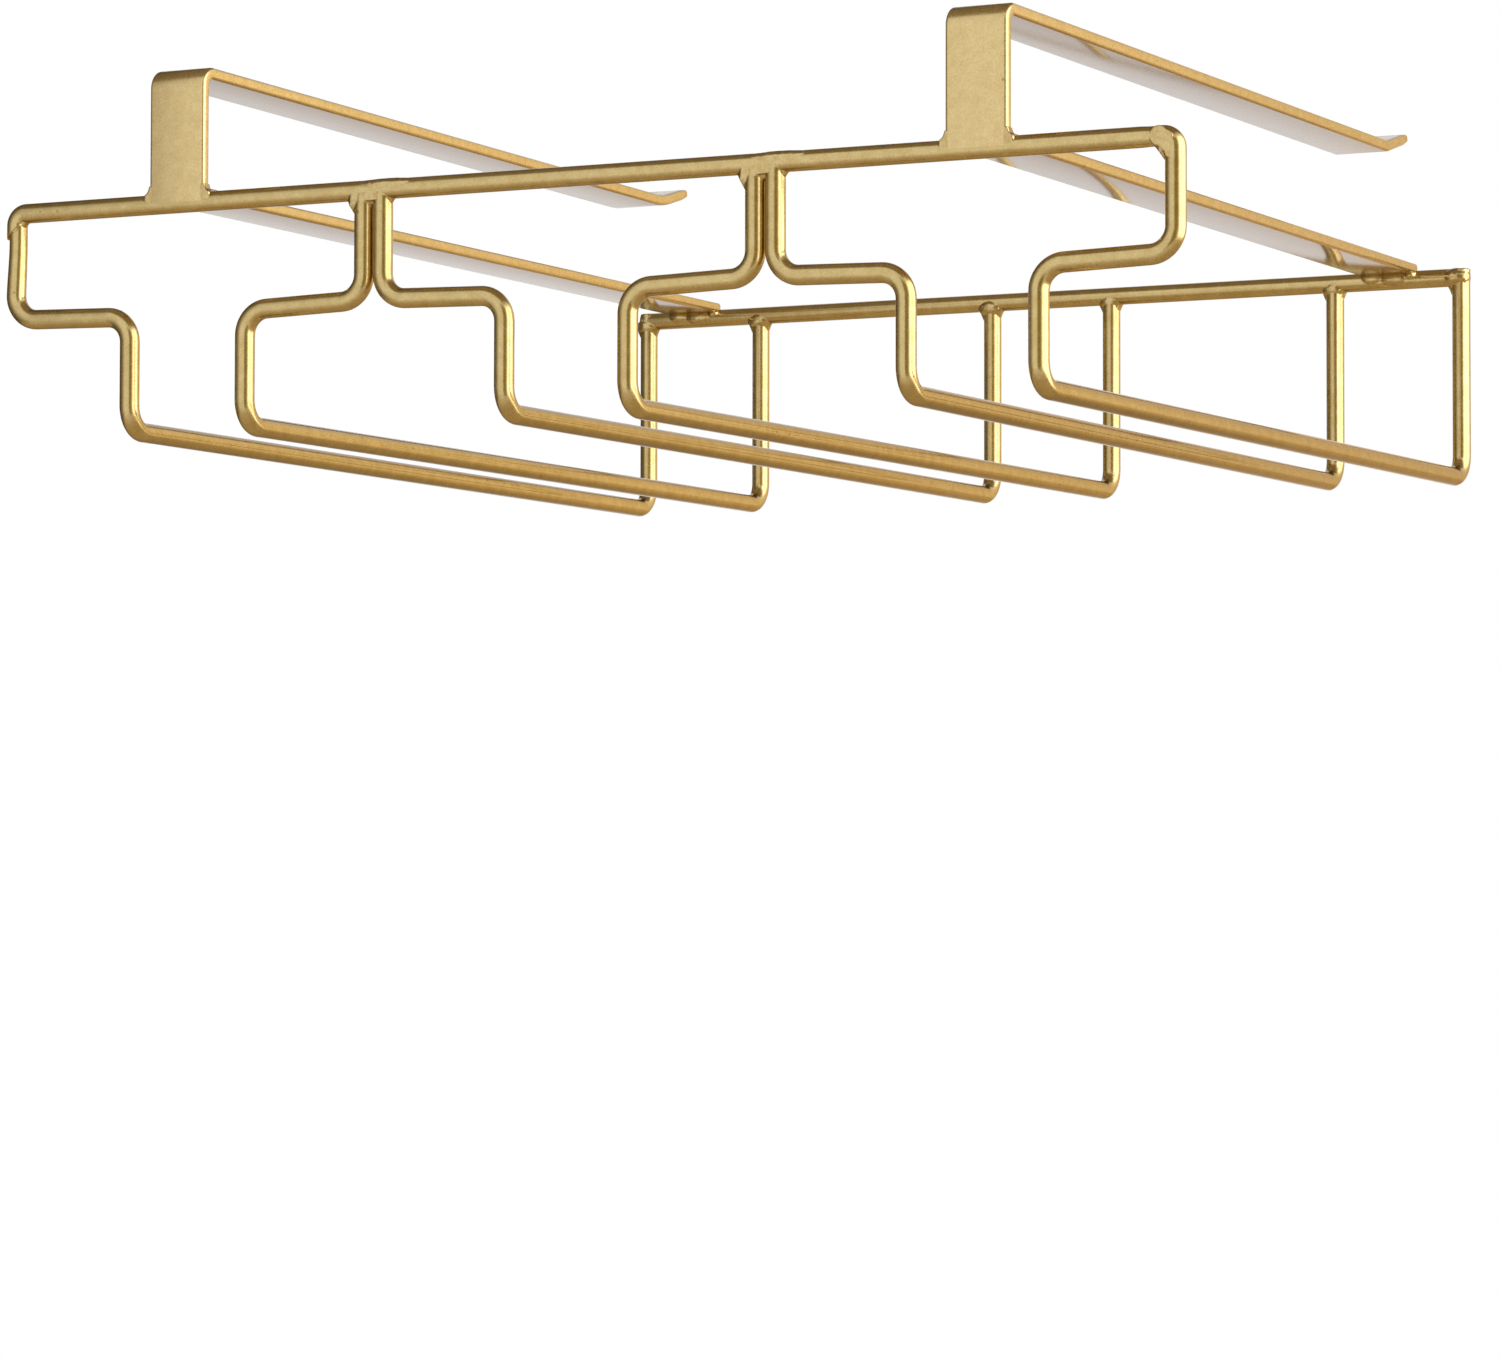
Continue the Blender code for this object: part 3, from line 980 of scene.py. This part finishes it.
Lump = Stub | Blob | Block | Wedge | Fillet


@dataclass(frozen=True)
class Skin:
    """How a weld's lumps melt into one skin: its mesh width, smoothing passes, and its ripple's height and width."""

    voxel: float = 0.00022
    passes: int = 6
    ripple: float = 0.00006
    ripple_size: float = 0.0011


@dataclass
class Weld:
    """A hand-made weld: lumps and fillets melted into one skin round the parts that they join."""

    name: str
    node: str
    lumps: list[Lump]
    skin: Skin
    seed: Triple

    def fill(self, bm: bmesh.types.BMesh) -> None:
        """Model all lumps, one inside another."""
        for lump in self.lumps:
            lump.add(bm)

    def melted(self) -> bpy.types.Mesh:
        """Melt the lumps together.

        Returns:
            The rough skin round all of them.
        """
        holder = bpy.data.objects.new(self.name + "_rough", mesh_from(self.fill))
        bpy.context.scene.collection.objects.link(holder)
        melt = holder.modifiers.new("melt", "REMESH")
        melt.mode = "VOXEL"
        melt.voxel_size = self.skin.voxel
        rough = bpy.data.meshes.new_from_object(holder.evaluated_get(bpy.context.evaluated_depsgraph_get()))
        bpy.data.objects.remove(holder, do_unlink=True)
        return rough

    def model(self, bm: bmesh.types.BMesh) -> None:
        """Smooth the melted skin and ripple it.

        Args:
            bm: the weld's empty mesh.
        """
        bm.from_mesh(self.melted())
        for _ in range(self.skin.passes):
            bmesh.ops.smooth_vert(bm, verts=bm.verts[:], factor=0.5, use_axis_x=True, use_axis_y=True,
                                  use_axis_z=True)
        bm.normal_update()
        for vert in bm.verts:
            lift = noise.noise(vert.co / self.skin.ripple_size + Vector(self.seed))
            vert.co += vert.normal * lift * self.skin.ripple
            # Weld metal that stands out of the rack's outline is ground flush.
            vert.co = Vector(max(low, min(high, place)) for low, high, place in zip(*CAD_BOX, vert.co))

    def dress(self, finishes: Finishes) -> None:
        """Show the weld in weld gold."""
        add_piece(self.name, mesh_from(self.model), finishes.weld, self.node)


@dataclass
class Welder:
    """Places the rack's welds, each a little different, as a hand makes them.

    Blobs and blocks are given by their place from the joint and their size. The fillets' sizes and the balls' shares
    go by the wires' numbers. Each seed moves a weld to its own part of the ripple's pattern.
    """

    sizes: RackSizes = SIZES
    under: float = 0.00004

    leg_skin: Skin = Skin(voxel=0.00016, passes=12, ripple=0.00005)
    leg_seed: float = 3.7
    leg_spare: float = 0.001
    outer_stub: float = 0.004
    corner_share: float = 0.94
    web_radius: float = 0.0020
    fillet_widths: tuple[float, ...] = (0.0012, 0.0018, 0.0009, 0.0020, 0.0010, 0.0026)
    fillet_heights: tuple[float, ...] = (0.0014, 0.0034, 0.0012, 0.0038, 0.0013, 0.0034)
    flat_from: float = 0.0015
    flat_depth: float = 0.0047
    flat_shares: tuple[float, ...] = (1.0, 1.0, 0.4, 0.95, 0.4, 1.0)
    hollow_share: float = 0.4
    pair_blobs: tuple[Placed, ...] = (((0.0, 0.0, -0.0011), (0.0060, 0.0048, 0.0066)),
                                      ((0.0042, -0.0007, 0.0007), (0.0240, 0.0039, 0.0039)))
    pair_block: Placed = ((0.0, -0.0013, -0.0018), (0.0060, 0.0022, 0.0022))
    ground_discs: tuple[Triple, ...] = ((0.0034, 0.0001, 0.95), (0.0018, 0.0008, 0.84), (0.0012, 0.0026, 0.62),
                                        (0.0009, 0.0042, 0.45))
    ground_under: float = 0.00006

    post_skin: Skin = Skin(passes=5)
    post_seed: float = 5.3
    post_stub: float = 0.0070
    bar_stub: float = 0.0050
    bar_end: float = 0.0020
    ball_shares: tuple[float, ...] = (1.0, 1.05, 1.1, 0.9, 0.95, 1.0)
    ball: Placed = ((-0.0002, -0.0006, -0.0015), (0.0072, 0.0046, 0.0048))
    last_ball: Placed = ((-0.0011, -0.0008, 0.0), (0.0078, 0.0050, 0.0052))
    post_web: float = 0.0016
    left_web: tuple[float, float] = (0.0013, 0.0028)
    right_web: tuple[float, float] = (0.0010, 0.0022)
    cap_share: float = 1.03
    cap_under: float = 0.0002

    plate_skin: Skin = Skin(passes=3, ripple=0.00002)
    plate_seeds: tuple[float, float] = (2.1, 1.7)
    plate_stub: tuple[float, float] = (0.0020, 0.0030)
    plate_width: float = 0.0015
    plate_height: float = 0.0030
    plate_slack: float = 0.00002

    strip_skin: Skin = Skin()
    strip_seeds: Triple = (4.4, 1.3, 2.6)
    strip_stub: float = 0.0070
    strip_stub_share: float = 0.97
    strip_foot: float = 0.0002
    strip_blobs: tuple[Placed, ...] = (((-0.0044, -0.0015, -0.0008), (0.0078, 0.0040, 0.0040)),
                                       ((0.0020, -0.0015, -0.0011), (0.0098, 0.0042, 0.0046)),
                                       ((0.0070, -0.0012, -0.0004), (0.0036, 0.0036, 0.0030)))
    front_share: float = 0.55

    @property
    def stub_radius(self) -> float:
        """Radius of the stubs, just under the wire's skin."""
        return self.sizes.rod_radius - self.under

    def flat_filling(self, joint: Vector, inner: Vector, width: Vector, height: Vector) -> Wedge:
        """Make the flat front of a large fillet, level with the two wires, with a hollow lower edge.

        Args:
            joint: where the two centre lines meet.
            inner: the corner between the two wires' skins.
            width: from the corner to the fillet's end on the bar.
            height: from the corner to its end on the leg.

        Returns:
            The filling.
        """
        aside = width.normalized() * self.sizes.rod_radius
        drop = height.normalized() * self.sizes.rod_radius
        outline = [joint, joint + aside, inner + width, inner + (width + height) * self.hollow_share, inner + height,
                   joint + drop]
        return Wedge(outline, [self.flat_depth * share for share in self.flat_shares])

    def pair_filling(self, middle: Vector) -> list[Lump]:
        """Make the metal between two touching legs, which leaves a long flat patch on the bar's front.

        Args:
            middle: the bar's centre line between the two legs.

        Returns:
            The filling's lumps.
        """
        place, size = (Vector(part) for part in self.pair_block)
        blobs = [Blob(middle + Vector(move), Vector(extent)) for move, extent in self.pair_blobs]
        return [*blobs, Block(middle + place, size)]

    def ground_face(self, joint: Vector, inward: Vector, down: Vector) -> list[Lump]:
        """Make a corner's weld that was ground flat: a disc over the bar's end that narrows down the leg.

        Args:
            joint: where the centre lines meet.
            inward: unit vector along the bar.
            down: unit vector along the leg.

        Returns:
            The face's lumps.
        """
        front = Vector((0, self.ground_under - self.sizes.rod_radius, 0))
        lumps: list[Lump] = []
        for aside, drop, share in self.ground_discs:
            back = joint + inward * aside + down * drop
            lumps.append(Stub(back + front, back, share * self.sizes.rod_radius))
        return lumps

    def leg_weld(self, wire: RailWire) -> Weld:
        """Make the fillet between the front bar and a leg, and the filling between two touching legs.

        Args:
            wire: the rail wire whose leg is welded.

        Returns:
            The weld.
        """
        s = self.sizes
        corner = wire.lapped or wire.turned_over
        start = s.corner_radius if corner else 0
        radius = self.stub_radius * (self.corner_share if corner else 1)
        joint = wire.leg
        inward, down = Vector((-wire.side, 0, 0)), Vector((0, 0, -1))
        inner = joint + (inward + down) * self.stub_radius
        wide, high = self.fillet_widths[wire.number - 1], self.fillet_heights[wire.number - 1]
        lumps: list[Lump] = [
            Stub(joint + inward * start, joint + inward * (s.rod_radius + wide + self.leg_spare), radius),
            Stub(joint + down * start, joint + down * (s.rod_radius + high + self.leg_spare), radius),
            web(inner, inward * wide, down * high, min(self.web_radius, high))]
        if wide > self.flat_from:
            lumps.append(self.flat_filling(joint, inner, inward * wide, down * high))
        if not corner:
            lumps.append(Stub(joint, joint - inward * self.outer_stub, radius))
        if wire.meets_next:
            lumps += self.pair_filling(joint - inward * (s.slot_pitch / 2 - s.leg_x))
        if wire.turned_over:
            lumps += self.ground_face(joint, inward, down)
        return Weld(f"leg_weld_{wire.number}", f"weld_front_{wire.number}", lumps, self.leg_skin,
                    (wire.number * self.leg_seed, 0, 0))

    def post_weld(self, wire: RailWire) -> Weld:
        """Make the ball of weld at the top of a rear post.

        Args:
            wire: the rail wire whose post is welded.

        Returns:
            The weld.
        """
        s = self.sizes
        joint = wire.post
        share = self.ball_shares[wire.number - 1]
        last = wire.turned_over
        place, size = (Vector(part) for part in (self.last_ball if last else self.ball))
        left = Vector((-(self.bar_end if wire.lapped else self.bar_stub), 0, 0))
        right = Vector((self.bar_end if last else self.bar_stub, 0, 0))
        inner = joint + Vector((0, 0, -self.stub_radius))
        side = Vector((self.stub_radius, 0, 0))
        wide, high = self.left_web
        lumps: list[Lump] = [
            Stub(joint + left, joint + right, self.stub_radius),
            Stub(joint, joint - Vector((0, 0, self.post_stub)), self.stub_radius),
            Blob(joint + place, size * share),
            web(inner - side, Vector((-wide, 0, 0)) * share, Vector((0, 0, -high)) * share, self.post_web)]
        if wire.lapped or last:
            # At the bar's two ends the weld rounds the corner over the post.
            cap = Vector((0, 0, s.rod_radius - self.cap_under))
            lumps.append(Stub(joint, joint + cap, self.cap_share * s.rod_radius))
        if not last:
            wide, high = self.right_web
            lumps.append(web(inner + side, Vector((wide, 0, 0)), Vector((0, 0, -high)), self.post_web))
        return Weld(f"post_weld_{wire.number}", f"weld_rear_{wire.number}", lumps, self.post_skin,
                    (0, wire.number * self.post_seed, 0))

    def plate_weld(self, clip: Clip, edge: PlateEdge) -> Weld:
        """Make the fillet where one edge of a front plate stands on the front bar.

        Args:
            clip: the clip that is welded on.
            edge: which edge of its plate.

        Returns:
            The weld.
        """
        s = self.sizes
        side = clip.side.value * edge.value
        out = Vector((side, 0, 0))
        # The plate stands on the bar's front half, so the corner follows the middle of the plate.
        middle_y = -s.strip_thickness / 2
        rise = math.sqrt(s.rod_radius ** 2 - (middle_y - s.front_y) ** 2)
        foot = Vector((clip.side.value * s.clip_x + side * s.strip_width / 2, s.front_y, s.front_z))
        corner = Vector((foot.x, middle_y, foot.z + rise))
        inside, outside = self.plate_stub
        lumps: list[Lump] = [
            Stub(foot - out * inside, foot + out * outside, self.stub_radius),
            Fillet(corner, out * self.plate_width, Vector((0, 0, self.plate_height)),
                   s.strip_thickness - self.plate_slack)]
        name = f"{clip.side.word}_{edge.name.lower()}"
        return Weld(f"plate_weld_{name}", f"weld_plate_{name}", lumps, self.plate_skin,
                    (clip.side.value * self.plate_seeds[0], side * self.plate_seeds[1], 0))

    def strip_weld(self, strip: LowerStrip, end: StripEnd) -> Weld:
        """Make the bead under one end of a lower strip.

        Args:
            strip: the lower strip.
            end: which end of it.

        Returns:
            The weld.
        """
        s = self.sizes
        front, rear = strip.ends()
        ahead = end is StripEnd.FRONT
        bar = Vector((front.x, s.front_y, s.front_z)) if ahead else Vector((rear.x, s.rear_y, s.rear_z))
        foot = Vector((bar.x, bar.y + end.value * (s.rod_radius + self.strip_foot), s.lower_top - s.strip_thickness))
        share = self.front_share if ahead else 1.0
        reach = Vector((self.strip_stub, 0, 0))
        lumps: list[Lump] = [Stub(bar - reach, bar + reach, self.stub_radius * self.strip_stub_share)]
        for (aside, inward, rise), size in self.strip_blobs:
            place = foot + Vector((aside, end.value * inward, rise * share))
            lumps.append(Blob(place, Vector(size) * share))
        name = f"{end.name.lower()}_{strip.side.word}"
        by_side, *by_end = self.strip_seeds
        return Weld(f"strip_weld_{name}", f"weld_strip_{name}", lumps, self.strip_skin,
                    (strip.side.value * by_side, 0, by_end[0] if ahead else by_end[1]))


@dataclass(frozen=True)
class SoftBox:
    """A large soft studio lamp, which lights the floor; its glow on the metal comes from a card beside it."""

    name: str
    place: Triple
    aim: Triple
    width: float
    height: float
    power: float

    def hang(self) -> None:
        """Put the lamp into the scene."""
        data = bpy.data.lights.new(self.name, "AREA")
        data.shape = "RECTANGLE"
        data.size, data.size_y = self.width, self.height
        data.energy = self.power
        lamp = bpy.data.objects.new(self.name, data)
        lamp.location = self.place
        lamp.rotation_euler = (Vector(self.aim) - lamp.location).to_track_quat("-Z", "Y").to_euler()
        lamp.visible_camera = False
        lamp.visible_glossy = False
        bpy.context.scene.collection.objects.link(lamp)


@dataclass(frozen=True)
class Card:
    """A bright or toned card beside the set with soft edges, which gives the gold its bands.

    Only reflections see it. The fades are the widths of its soft edges: its sides along its own X, its rims along
    its own Y, the lower end of each first.
    """

    name: str
    place: Triple
    aim: Triple
    width: float
    height: float
    tone: str
    strength: float
    side_fades: tuple[float, float]
    rim_fades: tuple[float, float] = (0.1, 0.1)

    def material(self) -> bpy.types.Material:
        """Make the card's glow, which thins out towards its edges.

        Returns:
            The material.
        """
        made = bpy.data.materials.new(self.name)
        made.use_nodes = True
        tree = made.node_tree
        tree.nodes.remove(tree.nodes["Principled BSDF"])
        glow = add_node(tree, "ShaderNodeEmission", values={"Color": linear(self.tone), "Strength": self.strength})
        clear = add_node(tree, "ShaderNodeBsdfTransparent")
        place = add_node(tree, "ShaderNodeSeparateXYZ",
                         links={0: add_node(tree, "ShaderNodeTexCoord").outputs["Object"]})
        share = None
        for axis, half, fades in (("X", self.width / 2, self.side_fades), ("Y", self.height / 2, self.rim_fades)):
            for sign, fade in zip((-1, 1), fades):
                edge = add_node(tree, "ShaderNodeMapRange", {"interpolation_type": "SMOOTHSTEP"},
                                {"From Min": sign * half, "From Max": sign * (half - fade)},
                                {"Value": place.outputs[axis]})
                share = edge if share is None else add_node(
                    tree, "ShaderNodeMath", {"operation": "MULTIPLY"},
                    links={0: share.outputs[0], 1: edge.outputs[0]})
        both = add_node(tree, "ShaderNodeMixShader",
                        links={0: share.outputs[0], 1: clear.outputs[0], 2: glow.outputs[0]})
        tree.links.new(both.outputs[0], tree.nodes["Material Output"].inputs["Surface"])
        return made

    def model(self, bm: bmesh.types.BMesh) -> None:
        """Lay the card flat."""
        bmesh.ops.create_grid(bm, x_segments=1, y_segments=1, size=0.5,
                              matrix=Matrix.Diagonal((self.width, self.height, 1, 1)))

    def stand(self) -> None:
        """Put the card into the scene."""
        card = bpy.data.objects.new(self.name, mesh_from(self.model))
        place = Vector(self.place)
        turn = (Vector(self.aim) - place).to_track_quat("Z", "Y").to_matrix().to_4x4()
        card.matrix_world = Matrix.Translation(place) @ turn
        card.data.materials.append(self.material())
        card.visible_camera = False
        card.visible_diffuse = False
        card.visible_shadow = False
        bpy.context.scene.collection.objects.link(card)


@dataclass
class Studio:
    """A white room with a pale floor, one soft lamp and toned cards."""

    floor_tone: str = "#F4F4F4"
    floor_roughness: float = 0.9
    floor_centre: Triple = (0.0, 0.14, -0.42)
    floor_radius: float = 6.0
    floor_sides: int = 64
    fade_start: float = 0.20
    fade_end: float = 0.60
    room_light: float = 0.9
    lamp: SoftBox = SoftBox("right_lamp", place=(0.75, 0.30, 0.45), aim=(0.0, 0.15, -0.1), width=0.8, height=0.6,
                            power=3.0)
    cards: tuple[Card, ...] = (
        Card("right_card", place=(0.75, 0.265, 0.15), aim=(0.0, 0.265, 0.15), width=1.47, height=1.0,
             tone="#FFFAF4", strength=3.3, side_fades=(0.45, 0.32)),
        Card("camera_side_card", place=(0.467, -0.60, 0.0), aim=(0.27, -0.142, 0.0), width=0.62, height=1.1,
             tone="#95874E", strength=1.0, side_fades=(0.1, 0.1)),
        Card("left_card", place=(-0.6, -0.075, 0.1), aim=(0.0, -0.075, 0.1), width=1.75, height=1.4,
             tone="#71684F", strength=1.0, side_fades=(0.95, 0.3)),
        Card("top_card", place=(-0.2, 0.2, 0.6), aim=(-0.2, 0.2, 0.0), width=1.6, height=1.4,
             tone="#8C7D64", strength=1.0, side_fades=(0.15, 0.15), rim_fades=(0.15, 0.15)),
        Card("low_card", place=(0.0, 0.115, -0.31), aim=(0.0, 0.115, 0.0), width=1.8, height=1.53,
             tone="#BBA682", strength=1.0, side_fades=(0.2, 0.2), rim_fades=(0.4, 0.7)),
        Card("low_rear_card", place=(0.40, 1.0, -0.315), aim=(0.40, 1.0, 0.0), width=1.8, height=1.2,
             tone="#EFD09B", strength=1.0, side_fades=(0.3, 0.3), rim_fades=(0.4, 0.02)),
        Card("rear_card", place=(0.40, 1.50, 0.20), aim=(0.40, 0.0, 0.20), width=1.7, height=1.3,
             tone="#FFE8BE", strength=1.12, side_fades=(0.35, 0.3), rim_fades=(0.05, 0.3)))

    def floor_material(self) -> bpy.types.Material:
        """Paint the floor pale under the rack and let it fade into the white room.

        Returns:
            The material.
        """
        made = bpy.data.materials.new("pale_floor")
        made.use_nodes = True
        tree = made.node_tree
        shader = tree.nodes["Principled BSDF"]
        shader.inputs["Base Color"].default_value = linear(self.floor_tone)
        shader.inputs["Roughness"].default_value = self.floor_roughness
        centred = add_node(tree, "ShaderNodeVectorMath", {"operation": "SUBTRACT"}, {1: self.floor_centre},
                           {0: add_node(tree, "ShaderNodeTexCoord").outputs["Object"]})
        away = add_node(tree, "ShaderNodeVectorMath", {"operation": "LENGTH"}, links={0: centred.outputs[0]})
        fade = add_node(tree, "ShaderNodeMapRange", {"interpolation_type": "SMOOTHSTEP"},
                        {"From Min": self.fade_start, "From Max": self.fade_end}, {"Value": away.outputs["Value"]})
        white = add_node(tree, "ShaderNodeEmission", values={"Color": (1, 1, 1, 1), "Strength": 1.0})
        both = add_node(tree, "ShaderNodeMixShader",
                        links={0: fade.outputs[0], 1: shader.outputs[0], 2: white.outputs[0]})
        tree.links.new(both.outputs[0], tree.nodes["Material Output"].inputs["Surface"])
        return made

    def model_floor(self, bm: bmesh.types.BMesh) -> None:
        """Model the round floor."""
        bmesh.ops.create_circle(bm, cap_ends=True, radius=self.floor_radius, segments=self.floor_sides,
                                matrix=Matrix.Translation(self.floor_centre))

    def lay_floor(self) -> None:
        """Lay the floor, which keeps the rack's shadow."""
        floor = bpy.data.objects.new("floor", mesh_from(self.model_floor))
        floor.data.materials.append(self.floor_material())
        bpy.context.scene.collection.objects.link(floor)

    def room(self) -> None:
        """Make the room white where it is seen, and a plain soft light elsewhere."""
        world = bpy.data.worlds.new("white_room")
        bpy.context.scene.world = world
        world.use_nodes = True
        tree = world.node_tree
        path = add_node(tree, "ShaderNodeLightPath")
        seen = path.outputs["Is Camera Ray"]
        for kind in ("Is Glossy Ray", "Is Transmission Ray"):
            seen = add_node(tree, "ShaderNodeMath", {"operation": "MAXIMUM"},
                            links={0: seen, 1: path.outputs[kind]}).outputs[0]
        strength = add_node(tree, "ShaderNodeMapRange", values={"To Min": self.room_light, "To Max": 1.0},
                            links={"Value": seen})
        back = tree.nodes["Background"]
        back.inputs["Color"].default_value = (1, 1, 1, 1)
        tree.links.new(strength.outputs[0], back.inputs["Strength"])

    def build(self) -> None:
        """Set the whole stage."""
        self.lay_floor()
        self.room()
        self.lamp.hang()
        for card in self.cards:
            card.stand()


@dataclass(frozen=True)
class CameraRig:
    """The photograph's camera: where it stands, where it looks and how long its lens is."""

    place: Triple = (0.6661132, -1.2064912, -0.2196525)
    azimuth: float = 27.0561
    elevation: float = 2.7963
    roll: float = 0.1168
    focal_pixels: float = 5730.4243
    frame_width: int = 1500
    sensor: float = 36.0
    clip_range: tuple[float, float] = (0.01, 30.0)

    def build(self) -> None:
        """Make the camera and give it to the scene."""
        a, e, r = (math.radians(v) for v in (self.azimuth, self.elevation, self.roll))
        ahead = Vector((-math.sin(a) * math.cos(e), math.cos(a) * math.cos(e), math.sin(e)))
        level = Vector((math.cos(a), math.sin(a), 0))
        upright = level.cross(ahead)
        right = math.cos(r) * level + math.sin(r) * upright
        up = math.cos(r) * upright - math.sin(r) * level
        data = bpy.data.cameras.new("camera")
        data.sensor_width = self.sensor
        data.lens = self.focal_pixels * self.sensor / self.frame_width
        data.clip_start, data.clip_end = self.clip_range
        camera = bpy.data.objects.new("camera", data)
        matrix = Matrix((right, up, -ahead)).transposed().to_4x4()
        matrix.translation = self.place
        camera.matrix_world = matrix
        bpy.context.scene.collection.objects.link(camera)
        bpy.context.scene.camera = camera


def main() -> None:
    """Build the camera, the studio and the rack, piece by piece."""
    logging.basicConfig(level=logging.INFO, format="%(name)s: %(message)s")
    bpy.context.scene.view_settings.view_transform = "Standard"
    CameraRig().build()
    Studio().build()
    finishes = Finishes()
    FrontBar().dress(finishes)
    RearBar().dress(finishes)
    wires = [RailWire(number) for number in range(1, 2 * SIZES.slot_count + 1)]
    clips = [Clip(Side.LEFT, reach=0.2430, fall=0.0034, lip_radius=0.0260),
             Clip(Side.RIGHT, reach=0.2470, fall=0.0008, lip_radius=0.0035)]
    strips = [LowerStrip(Side.LEFT, lean=0.0012), LowerStrip(Side.RIGHT, lean=0.0045)]
    welder = Welder()
    for wire in wires:
        wire.dress(finishes)
        welder.leg_weld(wire).dress(finishes)
        welder.post_weld(wire).dress(finishes)
    for clip, strip in zip(clips, strips):
        clip.dress(finishes)
        strip.dress(finishes)
        for edge in PlateEdge:
            welder.plate_weld(clip, edge).dress(finishes)
        for end in StripEnd:
            welder.strip_weld(strip, end).dress(finishes)


if __name__ == "__main__":
    main()
